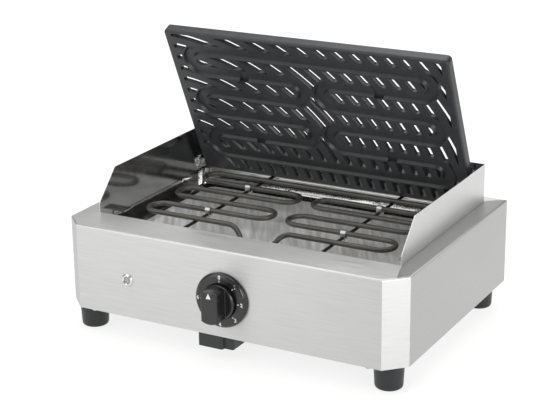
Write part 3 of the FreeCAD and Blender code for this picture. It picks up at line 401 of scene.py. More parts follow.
def close_tree(tree, given, shape):
    """Makes what repeats real, gives it the finish and hands it out as the result."""
    whole = add_node(tree, "GeometryNodeRealizeInstances", links={"Geometry": (shape, 0)})
    coated = add_node(tree, "GeometryNodeSetMaterial",
                      links={"Geometry": (whole, 0), "Material": (given, "Finish")})
    add_node(tree, "NodeGroupOutput", links={0: (coated, 0)})


# the tree that bends a tube along the route
tube_tree, given = open_tree("bent tube", "Tube", Route="Geometry", Tube_diameter="Float",
                             Steps_in_a_bend="Int", Sides="Int", Finish="Material")
line = add_node(tube_tree, "GeometryNodeMeshToCurve", links={"Mesh": (given, "Route")})
bend = add_node(tube_tree, "GeometryNodeInputNamedAttribute", {"data_type": "FLOAT",
                                                               "Name": "bend"})
bent = add_node(tube_tree, "GeometryNodeFilletCurve", {"mode": "POLY", "Limit Radius": True},
                {"Curve": (line, 0), "Count": (given, "Steps in a bend"),
                 "Radius": (bend, "Attribute")})
radius = add_node(tube_tree, "ShaderNodeMath", {"operation": "MULTIPLY", 1: 0.5},
                  {0: (given, "Tube diameter")})
section = add_node(tube_tree, "GeometryNodeCurvePrimitiveCircle",
                   links={"Resolution": (given, "Sides"), "Radius": (radius, 0)})
tube = add_node(tube_tree, "GeometryNodeCurveToMesh", {"Fill Caps": True},
                {"Curve": (bent, 0), "Profile Curve": (section, 0)})
smooth = add_node(tube_tree, "GeometryNodeSetShadeSmooth", links={"Geometry": (tube, 0)})
close_tree(tube_tree, given, smooth)


def settled(source):
    """The plain mesh that an object's modifiers, tree or letters come to."""
    bpy.context.view_layer.update()
    ready = source.evaluated_get(bpy.context.evaluated_depsgraph_get())
    return bpy.data.meshes.new_from_object(ready)


def grow(name, seed_mesh, tree, inputs, body, replaced=()):
    """Runs a tree on a seed mesh and keeps the result as a plain piece."""
    seed = stand(name + "_seed", seed_mesh)
    modifier = seed.modifiers.new("grown", "NODES")
    modifier.node_group = tree
    for label, value in inputs.items():
        modifier[tree.interface.items_tree[label].identifier] = value
    result = settled(seed)
    result.name = name
    bpy.data.objects.remove(seed)
    piece = seat(name, result, body, replaced)
    return piece


# nickel-steel sheath, annealed and then fired: a dull olive-grey oxide, patchy along the runs,
# with a fine scale that breaks up the highlight on top of the tube
oxide_patch = mm(38)
oxide_grain = mm(1.6)
oxidised, tree, shader, place = finish_of("oxidised_sheath", "#545450", 0.55, 0.46)
patches = add_node(tree, "ShaderNodeTexNoise", {"Scale": 1 / oxide_patch, "Detail": 3.0},
                   {"Vector": (place, "Object")})
grit = add_node(tree, "ShaderNodeTexNoise", {"Scale": 1 / oxide_grain, "Detail": 2.0},
                {"Vector": (place, "Object")})
vary(tree, shader, "Base Color", patches, "#403F3C", "#595852")
vary(tree, shader, "Roughness", patches, 0.32, 0.46)
add_node(tree, "ShaderNodeBump", {"Strength": 0.12, "Distance": mm(0.1)},
         {"Height": (grit, "Fac")}, {"Normal": (shader, 0)})
grow("heating_tube", path_mesh, tube_tree,
     {"Tube diameter": tube_diameter, "Steps in a bend": 10, "Sides": 20, "Finish": oxidised},
     "root", ["heating_element"])

# ------------------------------------------------------------------ element's plate and ends
# Zinc-plated plate brazed to both legs, with white steatite bushes and steel terminal pins on
# the cold ends, hidden behind the front panel.


def grained(name, colour, metallic, roughness, grain, detail=2.0, rough=None, tints=None,
            relief=None, **sockets):
    """A finish with one pattern of a real width, in its roughness, its tint or its relief."""
    material, tree, shader, place = finish_of(name, colour, metallic, roughness, **sockets)
    pattern = add_node(tree, "ShaderNodeTexNoise", {"Scale": 1 / grain, "Detail": detail},
                       {"Vector": (place, "Object")})
    if tints:
        vary(tree, shader, "Base Color", pattern, *tints)
    if rough:
        vary(tree, shader, "Roughness", pattern, *rough)
    if relief:
        add_node(tree, "ShaderNodeBump", {"Strength": relief[0], "Distance": relief[1]},
                 {"Height": (pattern, "Fac")}, {"Normal": (shader, 0)})
    return material


# passivated zinc plate: a soft bluish metal, cloudy in spots of 5 mm
zinc_plate = grained("zinc_plate", "#B9BABC", 1.0, 0.33, mm(5), 3.0, rough=(0.28, 0.42),
                     tints=("#AEB0B3", "#C3C4C5"))
for name in ("element_plate", "terminal_pins"):
    finish_node(name, zinc_plate)

# thinly glazed steatite: cream white with an uneven shine
steatite = grained("glazed_steatite", "#E4DFD2", 0.0, 0.3, mm(3), rough=(0.25, 0.4), IOR=1.6)
finish_node("terminal_bushes", steatite)

# ------------------------------------------------------------------ support rods and clips
# Two 4 mm steel rods lie under the runs, heat-tinted nearly black; four bright spring-sheet
# clips wrap over the tube and grip them.

# drawn steel rod, tinted by heat: brownish black, in bands where it ran hotter
tinted = grained("heat_tinted_rod", "#2C2B29", 0.7, 0.45, mm(22), tints=("#232220", "#3A3733"))
for word in ("left", "right"):
    support = dressed_copy("support_rod_" + word, smooth_below=40, bevel=mm(0.3))
    wear(support, tinted)
clips = dressed_copy("element_clips", smooth_below=45, bevel=mm(0.08))
wear(clips, zinc_plate)

# ------------------------------------------------------------------ grate
# Grey cast iron, one casting, swung on two pins: arc slots fan out from a rear corner, and a
# serpentine channel underneath takes the tube.

# sand-cast iron under matt black enamel: its fine grain, and the mould's slow unevenness, both
# show in the highlights
sand_grain = mm(0.9)
mould_swell = mm(14)
cast_iron, tree, shader, place = finish_of("enamelled_cast_iron", "#26272A", 0.0, 0.38,
                                           **{"Specular IOR Level": 0.5})
sand = add_node(tree, "ShaderNodeTexNoise", {"Scale": 1 / sand_grain, "Detail": 3.0},
                {"Vector": (place, "Object")})
swell = add_node(tree, "ShaderNodeTexNoise", {"Scale": 1 / mould_swell, "Detail": 2.0},
                 {"Vector": (place, "Object")})
vary(tree, shader, "Base Color", swell, "#232427", "#2C2D30")
vary(tree, shader, "Roughness", sand, 0.32, 0.46)
rough = add_node(tree, "ShaderNodeBump", {"Strength": 0.35, "Distance": mm(0.18)},
                 {"Height": (sand, "Fac")})
add_node(tree, "ShaderNodeBump", {"Strength": 0.4, "Distance": mm(0.5)},
         {"Height": (swell, "Fac"), "Normal": (rough, 0)}, {"Normal": (shader, 0)})
grate = dressed_copy("grate_casting", "grate", smooth_below=32)
wear(grate, cast_iron)
shut_angle = math.radians(65.3)
hinge_line = mm(0, 148.2, 143.2)
swung_open = (Matrix.Translation(hinge_line) @ Matrix.Rotation(shut_angle, 4, Vector((-1, 0, 0)))
              @ Matrix.Translation(-hinge_line))
underside = mm(138.7)

# the channel's lips are rounded wider than the other edges
facing = swung_open.to_3x3() @ Vector((0, 0, -1))
work = bmesh.new()
work.from_mesh(grate.data)
flat_face, least_slope, most_slope = 0.999, 0.15, 0.85
lip_round = mm(1.2)
lips = []
for edge in work.edges:
    if len(edge.link_faces) == 2:
        slope, flat = sorted(face.normal.dot(facing) for face in edge.link_faces)
        if flat > flat_face and least_slope < slope < most_slope:
            lips.append(edge)
bmesh.ops.bevel(work, geom=lips, offset=lip_round, offset_type="OFFSET", segments=3,
                profile=0.5, affect="EDGES", clamp_overlap=True)
shade(work, 32)
work.to_mesh(grate.data)
work.free()

# the bars between the slots have draft on both sides, so that each slot narrows from its mouth
# below to a slit and opens again above; over the channel only the bars' upper part is left
fan_centre = mm(-217.6, 181.8, 0)
slit_half = mm(1.85)
mouth_half = mm(4.62)
top_half = mm(5.6)
narrow_level = mm(4.5)
bar_low = mm(0.12)
bar_top = mm(7.35)
first_arc, arc_pitch = mm(79), mm(18.2)
first_slit, slit_pitch = mm(83.1), mm(17.9)
field_low, field_high = mm(-191.8, -78.6, 0), mm(191.8, 146.5, 0)


def slit_radius(row):
    """How far a row's slit lies from the fan's centre."""
    cast = first_arc + arc_pitch * row
    return cast + max(-mm(2.2), min(-mm(0.25), first_slit + slit_pitch * row - cast))


bars = bmesh.new()
arc_steps, arc_angle = 92, math.radians(-92)
for row in range(-1, 23):
    inner, outer = slit_radius(row), slit_radius(row + 1)
    section = [(inner + mouth_half, bar_low), (inner + slit_half, narrow_level),
               (inner + top_half, bar_top), (outer - top_half, bar_top),
               (outer - slit_half, narrow_level), (outer - mouth_half, bar_low)]
    count = len(section)
    rings = []
    for i in range(arc_steps + 1):
        a = arc_angle * i / arc_steps
        rings.append([bars.verts.new((fan_centre.x + r * math.cos(a),
                                      fan_centre.y + r * math.sin(a), underside + z))
                      for r, z in section])
    for ring, following in zip(rings, rings[1:]):
        for k in range(count):
            after = (k + 1) % count
            bars.faces.new((ring[k], ring[after], following[after], following[k]))
    bars.faces.new(rings[0])
    bars.faces.new(rings[-1])
for corner, outwards_to in ((field_low, (-1, 0, 0)), (field_low, (0, -1, 0)),
                            (field_high, (1, 0, 0)), (field_high, (0, 1, 0))):
    bmesh.ops.bisect_plane(bars, geom=bars.verts[:] + bars.edges[:] + bars.faces[:], dist=1e-7,
                           plane_co=corner, plane_no=outwards_to, clear_outer=True)
    bmesh.ops.edgeloop_fill(bars, edges=[e for e in bars.edges if e.is_boundary])
bmesh.ops.recalc_face_normals(bars, faces=bars.faces)
bar_mesh = bpy.data.meshes.new("grate_bars")
bars.to_mesh(bar_mesh)
bars.free()

# the tree that sweeps a square along the channel's closed line, to be cut from the bars
band_tree, given = open_tree("channel band", "Band", Line="Geometry", Width="Float",
                             Bend="Float", Finish="Material")
line = add_node(band_tree, "GeometryNodeMeshToCurve", links={"Mesh": (given, "Line")})
bent = add_node(band_tree, "GeometryNodeFilletCurve", {"mode": "POLY", "Limit Radius": True,
                                                       "Count": 10},
                {"Curve": (line, 0), "Radius": (given, "Bend")})
section = add_node(band_tree, "GeometryNodeCurvePrimitiveQuadrilateral",
                   links={"Width": (given, "Width"), "Height": (given, "Width")})
swept = add_node(band_tree, "GeometryNodeCurveToMesh",
                 links={"Curve": (bent, 0), "Profile Curve": (section, 0)})
close_tree(band_tree, given, swept)
band_width = mm(17.6)
channel_line = [p.copy() for p, bend in route[3:-4]]
for point in channel_line:
    point.z = underside + narrow_level - band_width / 2
loop = len(channel_line)
line_mesh = bpy.data.meshes.new("channel_line")
line_mesh.from_pydata([tuple(p) for p in channel_line],
                      [(i, (i + 1) % loop) for i in range(loop)], [])
band = grow("channel_band", line_mesh, band_tree,
            {"Width": band_width, "Bend": turn_radius, "Finish": cast_iron}, "grate")


def cut_away(piece, cutter, solver):
    """Takes a cutter's shape out of a piece for good, and removes the cutter."""
    cut = piece.modifiers.new("cut", "BOOLEAN")
    cut.object = cutter
    cut.operation = "DIFFERENCE"
    cut.solver = solver
    cut.use_self = solver == "EXACT"
    left = settled(piece)
    piece.modifiers.clear()
    piece.data = left
    bpy.data.objects.remove(cutter)


bar_piece = stand("grate_bars", bar_mesh)
cut_away(bar_piece, band, "MANIFOLD")
bar_piece.data.transform(swung_open)
for face in bar_piece.data.polygons:
    face.use_smooth = False
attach(bar_piece, "grate")
wear(bar_piece, cast_iron)
for word in ("left", "right"):
    pin = dressed_copy("grate_pin_" + word, "grate", smooth_below=40, bevel=mm(0.3))
    wear(pin, zinc_plate)

# ------------------------------------------------------------------ regulator
# Off-white moulded regulator behind the panel, with brass push-on tabs and a steel shaft that
# turns in its neck and carries the knob.

# pressed urea resin: off-white, with faint flow marks
urea = grained("urea_moulding", "#D5D2C6", 0.0, 0.42, mm(9), tints=("#CFCCBF", "#DAD7CC"),
               IOR=1.6)
finish_node("regulator_body", urea)

# stamped sheet brass: warm and bright, dulled in spots by handling
brass = grained("sheet_brass", "#C4A35A", 1.0, 0.28, mm(4), rough=(0.22, 0.4))
finish_node("regulator_tabs", brass)
finish_node("regulator_shaft", zinc_plate)

# ------------------------------------------------------------------ dial
# Black phenolic ring fixed to the panel round the knob, flat with a rounded rim. Six numbers
# and a 0 are pad-printed on it in white, 45 degrees apart, each with a short stroke inside.
knob_height = casing_base + mm(49.5)
dial_radius = mm(35)
dial_hole = mm(22.6)
dial_face = mm(7)
dial_round = mm(4.5)
dial_step = 45
dial_marks = 7


def lathe(name, outline, origin, axis, sides, body, replaced=()):
    """A closed outline of (radius, distance along the axis) turned into a smooth mesh."""
    turn = Vector((0, 0, 1)).rotation_difference(axis).to_matrix()
    verts, faces = [], []
    count = len(outline)
    for i in range(sides):
        angle = 2 * math.pi * i / sides
        for r, along in outline:
            verts.append(origin + turn @ Vector((r * math.cos(angle), r * math.sin(angle), along)))
    for i in range(sides):
        for k in range(count):
            a, b = i * count + k, i * count + (k + 1) % count
            c, d = ((i + 1) % sides) * count + (k + 1) % count, ((i + 1) % sides) * count + k
            faces.append((a, b, c, d))
    mesh = bpy.data.meshes.new(name)
    mesh.from_pydata([tuple(v) for v in verts], [], faces)
    work = bmesh.new()
    work.from_mesh(mesh)
    bmesh.ops.remove_doubles(work, verts=work.verts, dist=mm(0.002))
    bmesh.ops.recalc_face_normals(work, faces=work.faces)
    shade(work, 38)
    work.to_mesh(mesh)
    work.free()
    return seat(name, mesh, body, replaced)


def rounded(outline, radius, steps=4):
    """Rounds the convex corners that carry a flag in an outline of (r, along, flag)."""
    points = []
    count = len(outline)
    for i, (r, along, flag) in enumerate(outline):
        here = Vector((r, along))
        if not flag:
            points.append((r, along))
            continue
        before = Vector(outline[i - 1][:2]) - here
        after = Vector(outline[(i + 1) % count][:2]) - here
        cut = min(radius * flag, before.length * 0.45, after.length * 0.45)
        first = here + before.normalized() * cut
        last = here + after.normalized() * cut
        for k in range(steps + 1):
            t = k / steps
            point = first * (1 - t) ** 2 + here * 2 * t * (1 - t) + last * t ** 2
            points.append((point.x, point.y))
    return points


# phenolic moulding, semi gloss: a faint orange-peel swirl of the press shows in its highlights
phenolic = grained("phenolic_black", "#151517", 0.0, 0.2, mm(2.5), rough=(0.15, 0.27),
                   relief=(0.08, mm(0.1)), IOR=1.6)
dial_centre = Vector((0, casing_front, knob_height))
outwards = Vector((0, -1, 0))
dial_outline = [(dial_hole, 0), (dial_radius, 0)]
rim_steps = 7
for k in range(rim_steps + 1):
    a = math.radians(90 * k / rim_steps)
    dial_outline.append((dial_radius - dial_round * (1 - math.cos(a)),
                         dial_face - dial_round * (1 - math.sin(a))))
dial_outline += [(dial_hole + mm(0.5), dial_face), (dial_hole, dial_face - mm(0.5))]
dial = lathe("dial", dial_outline, dial_centre, outwards, 96, "root", ["dial_ring"])
wear(dial, phenolic)

# pad-printed ink: warm white and matt, a little thinner in places
print_white = grained("pad_print_white", "#E9E9E4", 0.0, 0.5, mm(0.8),
                      tints=("#DEDED8", "#F0F0EC"))


def on_dial(radius, degrees):
    """The place and the turn of something printed upright on the dial."""
    a = math.radians(degrees)
    matrix = Matrix.Rotation(math.radians(90), 4, "X")
    matrix.translation = Vector((radius * math.sin(a), casing_front - dial_face - mm(0.06),
                                 knob_height + radius * math.cos(a)))
    return matrix


def press_on_dial(mesh):
    """Lays what is printed past the dial's flat face down on its rounded rim."""
    for vert in mesh.vertices:
        past = math.hypot(vert.co.x, vert.co.z - knob_height) - (dial_radius - dial_round)
        if past > 0:
            vert.co.y += dial_round - math.sqrt(max(dial_round ** 2 - past ** 2, 0))


number_radius, number_height = mm(30.2), mm(6.6)
stroke_swell, ink_depth = mm(0.2), mm(0.1)
numbers = bmesh.new()
for i in range(dial_marks):
    letters = bpy.data.curves.new("dial_number", "FONT")
    letters.body = str(i)
    letters.size = number_height
    letters.align_x = letters.align_y = "CENTER"
    letters.extrude = ink_depth / 2
    letters.offset = stroke_swell
    letters.resolution_u = 3
    holder = stand("dial_number", letters)
    flat = settled(holder)
    flat.transform(on_dial(number_radius, dial_step * i))
    press_on_dial(flat)
    numbers.from_mesh(flat)
    bpy.data.objects.remove(holder)
number_mesh = bpy.data.meshes.new("dial_numbers")
numbers.to_mesh(number_mesh)
numbers.free()
wear(seat("dial_numbers", number_mesh, "root"), print_white)


def repeat_on_places(tree, given, shape, output):
    """Stands a shape on each of the given points, turned as the point says, and closes."""
    turn = add_node(tree, "GeometryNodeInputNamedAttribute", {"data_type": "FLOAT_VECTOR",
                                                              "Name": "turn"})
    spots = add_node(tree, "GeometryNodeMeshToPoints", {"mode": "VERTICES"},
                     {"Mesh": (given, "Places")})
    turned_to = add_node(tree, "FunctionNodeEulerToRotation",
                         links={"Euler": (turn, "Attribute")})
    laid = add_node(tree, "GeometryNodeInstanceOnPoints",
                    links={"Points": (spots, 0), "Instance": (shape, output),
                           "Rotation": (turned_to, 0)})
    close_tree(tree, given, laid)


# the printed strokes: one bar repeated on the dial
marks_tree, given = open_tree("dial marks", "Marks", Places="Geometry", Stroke="Vector",
                              Finish="Material")
stroke = add_node(marks_tree, "GeometryNodeMeshCube", links={"Size": (given, "Stroke")})
repeat_on_places(marks_tree, given, stroke, "Mesh")


def placed_points(name, matrices):
    """A mesh of loose points, each with the turn that what stands on it takes."""
    mesh = bpy.data.meshes.new(name)
    mesh.from_pydata([tuple(m.translation) for m in matrices], [], [])
    turns = mesh.attributes.new("turn", "FLOAT_VECTOR", "POINT")
    turns.data.foreach_set("vector", [angle for m in matrices for angle in m.to_euler()])
    return mesh


stroke_radius = mm(25.4)
stroke_width, stroke_length = mm(0.9), mm(2.2)
places = []
for i in range(dial_marks):
    spin = Matrix.Rotation(math.radians(-dial_step * i), 4, "Z")
    places.append(on_dial(stroke_radius, dial_step * i) @ spin)
grow("dial_strokes", placed_points("stroke_places", places), marks_tree,
     {"Stroke": (stroke_width, stroke_length, ink_depth), "Finish": print_white},
     "root")

# ------------------------------------------------------------------ knob
# Black phenolic knob on the shaft's flat: a round boss with a broad grip bar across it, edges
# rounded for the fingers, and a white triangle let into the bar's face as the pointer.
knob = dressed_copy("knob_grip", "knob", smooth_below=32, bevel=mm(0.6), steps=3)
wear(knob, phenolic)

# the knob stands a hair back, which leaves room for the pointer's ink on its face
pointer_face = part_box("knob_grip")[0].y
pointer_room = mm(0, 0.06, 0)
knob.data.transform(Matrix.Translation(pointer_room))
pointer = bpy.data.meshes.new("knob_pointer")
low, tip, half_base, thick = mm(12.2), mm(19.3), mm(3.3), mm(0.08)
corners = [(-half_base, low), (half_base, low), (0, tip)]
pointer.from_pydata([(x, pointer_face + dy, knob_height + z)
                     for dy in (0, thick) for x, z in corners], [],
                    [(0, 1, 2), (5, 4, 3), (0, 3, 4, 1), (1, 4, 5, 2), (2, 5, 3, 0)])
wear(seat("knob_pointer", pointer, "knob"), print_white)

# ------------------------------------------------------------------ pilot lamp
# Turned brass bezel, chromed and pressed into the panel, with a clear domed lens snapped into
# it and a black holder behind.

# chromium plate on turned brass: a cool mirror, finely uneven
chrome = grained("chrome_plate", "#DADBDD", 1.0, 0.08, mm(3), rough=(0.05, 0.12))
lamp_centre = Vector((mm(98.5) - casing_half, casing_front, casing_base + mm(50)))
bezel_bore, barrel_radius, bezel_radius = mm(4.3), mm(5.5), mm(8)
barrel_end, bezel_top = -mm(10), mm(2.6)
bezel_outline = rounded([(bezel_bore, barrel_end, 0), (barrel_radius, barrel_end, 0),
                         (barrel_radius, 0, 0), (bezel_radius, 0, 0), (bezel_radius, mm(0.9), 1),
                         (mm(6.4), bezel_top, 1), (barrel_radius, bezel_top, 1),
                         (bezel_bore, mm(1.4), 0)], mm(0.6))
bezel = lathe("pilot_bezel", bezel_outline, lamp_centre, outwards, 48, "root", ["lamp_bezel"])
wear(bezel, chrome)

# moulded acrylic: clear, with ring prisms inside that scatter what shows through
glass, tree, shader, place = finish_of("clear_lens", "#BDBCB8", 0.0, 0.15, IOR=1.49,
                                       **{"Transmission Weight": 0.3})
prisms = add_node(tree, "ShaderNodeTexWave", {"Scale": 1 / mm(5), "wave_type": "RINGS",
                                              "rings_direction": "Y"},
                  {"Vector": (place, "Object")})
vary(tree, shader, "Roughness", prisms, 0.06, 0.14)
lens_outline = [(mm(r), mm(along)) for r, along in
                ((0, -6), (4.28, -6), (4.28, 0.9), (4, 1.4), (3.2, 1.95), (2.1, 2.35),
                 (1, 2.55), (0, 2.6))]
lens = lathe("pilot_lens", lens_outline, lamp_centre, outwards, 40, "root", ["lamp_lens"])
wear(lens, glass)

# ------------------------------------------------------------------ grease drawer
# Glass-filled nylon face, satin black, moulded with a set-back shoulder and a finger hollow, on a
# black-enamelled sheet cup whose two lips run in folded galvanised rails.

# glass-filled nylon from a spark-eroded mould: charcoal black with a fine sandy satin
nylon = grained("nylon_black", "#262829", 0.0, 0.4, mm(0.7), rough=(0.34, 0.48),
                relief=(0.15, mm(0.06)))
face = dressed_copy("drawer_front", "drawer", smooth_below=32, bevel=mm(0.5), steps=3)
wear(face, nylon)

# the face's right cheek runs back beside the rail, past the panel's lower edge
face_low, face_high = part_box("drawer_front")
cup_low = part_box("drawer_cup")[0]
cheek_x, cheek_y = (face_high.x - mm(1), face_high.x), (cup_low.y - mm(1), cup_low.y + mm(34))
cheek_z = (face_low.z + mm(0.2), face_high.z - mm(0.2))
cheek_mesh = bpy.data.meshes.new("drawer_cheek")
cheek_mesh.from_pydata([(x, y, z) for x in cheek_x for y in cheek_y for z in cheek_z], [],
                       [(0, 1, 3, 2), (4, 6, 7, 5), (0, 4, 5, 1), (2, 3, 7, 6), (0, 2, 6, 4),
                        (1, 5, 7, 3)])
cheek = seat("drawer_cheek", cheek_mesh, "drawer")
rounding = cheek.modifiers.new("rounded edges", "BEVEL")
rounding.width = mm(0.4)
rounding.segments = 2
wear(cheek, nylon)

# fired vitreous enamel: black and glassy, with a slight flow
enamel = grained("black_enamel", "#17181A", 0.0, 0.2, mm(7), rough=(0.14, 0.26), IOR=1.52)
cup = dressed_copy("drawer_cup", "drawer", smooth_below=32, bevel=mm(0.3))
wear(cup, enamel)
for word in ("left", "right"):
    rail = dressed_copy("drawer_rail_" + word, smooth_below=32, bevel=mm(0.2))
    wear(rail, galvanised)
finish_node("lamp_body", nylon)

# ------------------------------------------------------------------ feet
# Four moulded rubber feet, a little narrower towards the floor and rounded below. Each has a
# deep hole for the head of the screw that holds it to the base plate.
foot_radius, floor_radius = mm(18.6), mm(17)
hole_radius, screw_radius, seat_level = mm(7), mm(2.1), mm(14)

# nitrile rubber, moulded: near black, with a faint bloom that keeps the highlight broad
rubber = grained("nitrile_rubber", "#1E1F21", 0.0, 0.42, mm(6), 3.0, rough=(0.34, 0.52),
                 tints=("#1A1B1D", "#26272A"), relief=(0.1, mm(0.1)))
foot_outline = rounded([(hole_radius, 0, 0), (floor_radius, 0, 5), (foot_radius, casing_base, 0),
                        (screw_radius, casing_base, 0), (screw_radius, seat_level, 0),
                        (hole_radius, seat_level, 0)], mm(1), steps=7)
upwards = Vector((0, 0, 1))
foot_places = {}
for name in ("foot_left_front", "foot_left_rear", "foot_right_front", "foot_right_rear"):
    low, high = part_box(name)
    foot_places[name] = Vector(((low.x + high.x) / 2, (low.y + high.y) / 2, 0))
    foot = lathe(name + "_rubber", foot_outline, foot_places[name], upwards, 56, "root", [name])
    wear(foot, rubber)

# ------------------------------------------------------------------ screws and nuts
# Zinc-plated pan-head screws with a cross recess: eight hold the base plate, two of them under
# the front edge, four go up through the feet, two hold the element and two the regulator.
screw_tree, given = open_tree("screws", "Screws", Places="Geometry", Screw="Object",
                              Finish="Material")
shape = add_node(screw_tree, "GeometryNodeObjectInfo", links={"Object": (given, "Screw")})
repeat_on_places(screw_tree, given, shape, "Geometry")


def screw_blank(name, head_d, head_h, shank_d, shank_l):
    """A pan-head screw along +Z from its seat at 0, head below, with a cross recess."""
    outline = [(0, -head_h)]
    for i in range(7):
        a = math.radians(90 * i / 6)
        outline.append((head_d / 2 * (0.55 + 0.45 * math.sin(a)),
                        -head_h + head_h * 0.7 * (1 - math.cos(a))))
    outline += [(head_d / 2, 0), (shank_d / 2, 0), (shank_d / 2, shank_l - mm(0.5)),
                (shank_d / 2 - mm(0.5), shank_l), (0, shank_l)]
    blank = lathe(name, outline, Vector(), upwards, 24, "root")
    arms, width, depth = head_d * 0.6, head_d * 0.17, head_h * 1.1
    cross = bmesh.new()
    for size in ((arms, width, depth), (width, arms, depth)):
        made = bmesh.ops.create_cube(cross, size=1.0)
        bmesh.ops.scale(cross, vec=size, verts=made["verts"])
        bmesh.ops.translate(cross, vec=(0, 0, -head_h), verts=made["verts"])
    cutter_mesh = bpy.data.meshes.new(name + "_cutter")
    cross.to_mesh(cutter_mesh)
    cross.free()
    cut_away(blank, stand(name + "_cutter", cutter_mesh), "EXACT")
    return blank


def inward(point):
    """A place whose screw points to the rear."""
    return Matrix.Translation(point) @ Matrix.Rotation(math.radians(-90), 4, "X")


flange_in = mm(5)
base_spots = [Matrix.Translation((side * out, y, casing_base))
              for out, along in ((mm(191.5), flange_in), (casing_half - flange_in, mm(90)))
              for side in (-1, 1) for y in (casing_front + along, casing_rear - along)]
foot_spots = [Matrix.Translation(p + Vector((0, 0, seat_level))) for p in foot_places.values()]
plate_spots = [inward(Vector((x, well_front - mm(2), leg_height)))
               for x in (left_leg_x - mm(10.5), right_leg_x + mm(10.5))]
panel_spots = [inward(Vector((side * mm(14), casing_front, knob_height))) for side in (-1, 1)]

# name, places, and the head's diameter and height and the shank's diameter and length in mm
for name, spots_here, *sizes in (("case_screws", base_spots, 7.5, 2.6, 4, 7),
                                 ("foot_screws", foot_spots, 7.5, 2.6, 4, 25.4),
                                 ("element_screws", plate_spots, 7.5, 2.6, 4, 6),
                                 ("regulator_screws", panel_spots, 5.6, 0.9, 3, 7.2)):
    blank = screw_blank(name + "_blank", *(mm(size) for size in sizes))
    grow(name + "_zinc", placed_points(name + "_places", spots_here), screw_tree,
         {"Screw": blank, "Finish": zinc_plate}, "root", [name])
    bpy.data.objects.remove(blank)
finish_node("foot_nuts", zinc_plate)

# ------------------------------------------------------------------ cord entry and terminals
# Black nylon gland, turned tight through the rear panel by its nut inside. Beside it are a
# three-way terminal block and the brass earth stud, both fixed to the base plate.
gland_centre = Vector((mm(-150), casing_rear, casing_base + mm(34)))
backwards = Vector((0, 1, 0))
cord_radius, thread_radius, dome_radius = mm(4), mm(8), mm(10)
thread_end, dome_end = -mm(9.2), mm(9)
gland_outline = rounded([(cord_radius, thread_end, 0), (thread_radius, thread_end, 0),
                         (thread_radius, 0, 0), (dome_radius, 0, 0), (dome_radius, dome_end, 2.4),
                         (cord_radius, dome_end, 0.8)], mm(1))
gland = lathe("gland_body", gland_outline, gland_centre, backwards, 48, "root", ["cord_gland"])
wear(gland, nylon)
for name, material, slot in (("gland_nut", nylon, "black_moulding"),
                             ("terminal_block", urea, "white_moulding"),
                             ("earth_stud", brass, "brass")):
    finish_node(name, material)

# ------------------------------------------------------------------ studio
# A pale level table top in a white surround, large soft lamps above, behind and at both sides,
# and a camera to the right of the front, looking down on the grill.
camera_azimuth = math.radians(29.04)
camera_elevation = math.radians(18.89)
camera_roll = math.radians(-0.755)
camera_place = mm(912.2, -1678.5, 808.6)
right = Vector((math.cos(camera_azimuth), math.sin(camera_azimuth), 0))
back = Vector((math.sin(camera_azimuth) * math.cos(camera_elevation),
               -math.cos(camera_azimuth) * math.cos(camera_elevation),
               math.sin(camera_elevation)))
up = back.cross(right)
rolled_right = right * math.cos(camera_roll) + up * math.sin(camera_roll)
rolled_up = up * math.cos(camera_roll) - right * math.sin(camera_roll)
camera_data = bpy.data.cameras.new("camera")
camera_data.lens = 106.9
camera_data.sensor_width = 36
camera_data.sensor_fit = "HORIZONTAL"
camera_data.clip_end = 30
camera = stand("camera", camera_data)
turned_camera = Matrix((rolled_right, rolled_up, back)).transposed().to_4x4()
turned_camera.translation = camera_place
camera.matrix_world = turned_camera
bpy.context.scene.camera = camera

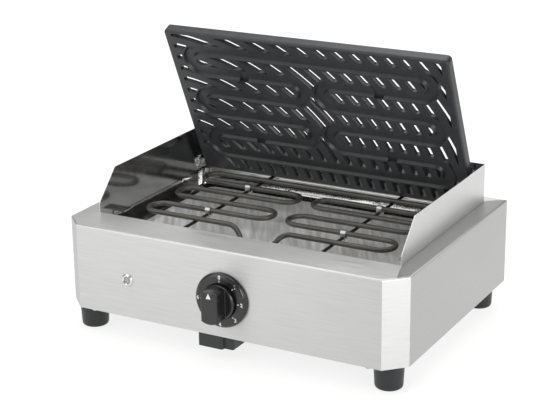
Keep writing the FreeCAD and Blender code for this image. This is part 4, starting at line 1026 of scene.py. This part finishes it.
# matt white laminate: it takes the soft shadow close to the grill, is plain white farther out,
# and shows white in the steel too
floor_size = 6.0
shadow_reach, plain_from = 0.5, 1.3
white_table, tree, shader, place = finish_of("white_table", "#F2F2F0", 0.0, 0.7)
path_kind = add_node(tree, "ShaderNodeLightPath")
seen = add_node(tree, "ShaderNodeMath", {"operation": "MAXIMUM"},
                {0: (path_kind, "Is Camera Ray"), 1: (path_kind, "Is Glossy Ray")})
away = add_node(tree, "ShaderNodeVectorMath", {"operation": "LENGTH"}, {0: (place, "Object")})
share = add_node(tree, "ShaderNodeMapRange",
                 {"interpolation_type": "SMOOTHSTEP", "From Min": shadow_reach,
                  "From Max": plain_from, "To Min": 0.72, "To Max": 1.0}, {0: (away, "Value")})
lift = add_node(tree, "ShaderNodeMath", {"operation": "MULTIPLY"}, {0: (seen, 0), 1: (share, 0)})
glow = add_node(tree, "ShaderNodeEmission", {"Color": (1, 1, 1, 1), "Strength": 1.12})
add_node(tree, "ShaderNodeMixShader",
         links={"Fac": (lift, 0), 1: (shader, "BSDF"), 2: (glow, "Emission")},
         to={"Surface": (tree.nodes["Material Output"], 0)})
floor_mesh = bpy.data.meshes.new("table_top")
h = floor_size / 2
floor_mesh.from_pydata([(-h, -h, 0), (h, -h, 0), (h, h, 0), (-h, h, 0)], [], [(0, 1, 2, 3)])
floor = stand("table_top", floor_mesh)
floor.location.z = -mm(0.3)
floor_mesh.materials.append(white_table)

world = bpy.data.worlds.new("studio")
bpy.context.scene.world = world
world.use_nodes = True
tree = world.node_tree
tree.nodes.clear()
path_kind = add_node(tree, "ShaderNodeLightPath")
seen = add_node(tree, "ShaderNodeMath", {"operation": "MAXIMUM"},
                {0: (path_kind, "Is Camera Ray"), 1: (path_kind, "Is Transmission Ray")})
room = add_node(tree, "ShaderNodeBackground", {"Color": linear("#DCDCDA"), "Strength": 0.55})
paper = add_node(tree, "ShaderNodeBackground", {"Color": (1, 1, 1, 1), "Strength": 1.0})
both = add_node(tree, "ShaderNodeMixShader", links={"Fac": (seen, 0), 1: (room, 0), 2: (paper, 0)})
add_node(tree, "ShaderNodeOutputWorld", links={"Surface": (both, 0)})

# each lamp's name, place, side in metres and watts; all look at the middle of the grill
target = mm(0, 0, 110)
for name, place_at, size, power in (
        ("lamp_over", (-0.5, -0.2, 1.9), 2.6, 24.0),
        ("lamp_left", (-1.15, -1.75, 0.8), 1.3, 10.5),
        ("lamp_right", (1.95, -1.08, 0.75), 1.1, 21.0),
        ("lamp_well", (0.15, 0.75, 1.6), 1.7, 13.0),
        ("lamp_rear", (-0.9, 1.8, 1.2), 1.3, 2.0)):
    soft_box = bpy.data.lights.new(name, "AREA")
    soft_box.size = size
    soft_box.energy = power
    soft = stand(name, soft_box)
    soft.location = place_at
    soft.rotation_euler = (target - Vector(place_at)).to_track_quat("-Z", "Y").to_euler()

bpy.context.scene.view_settings.view_transform = "Standard"
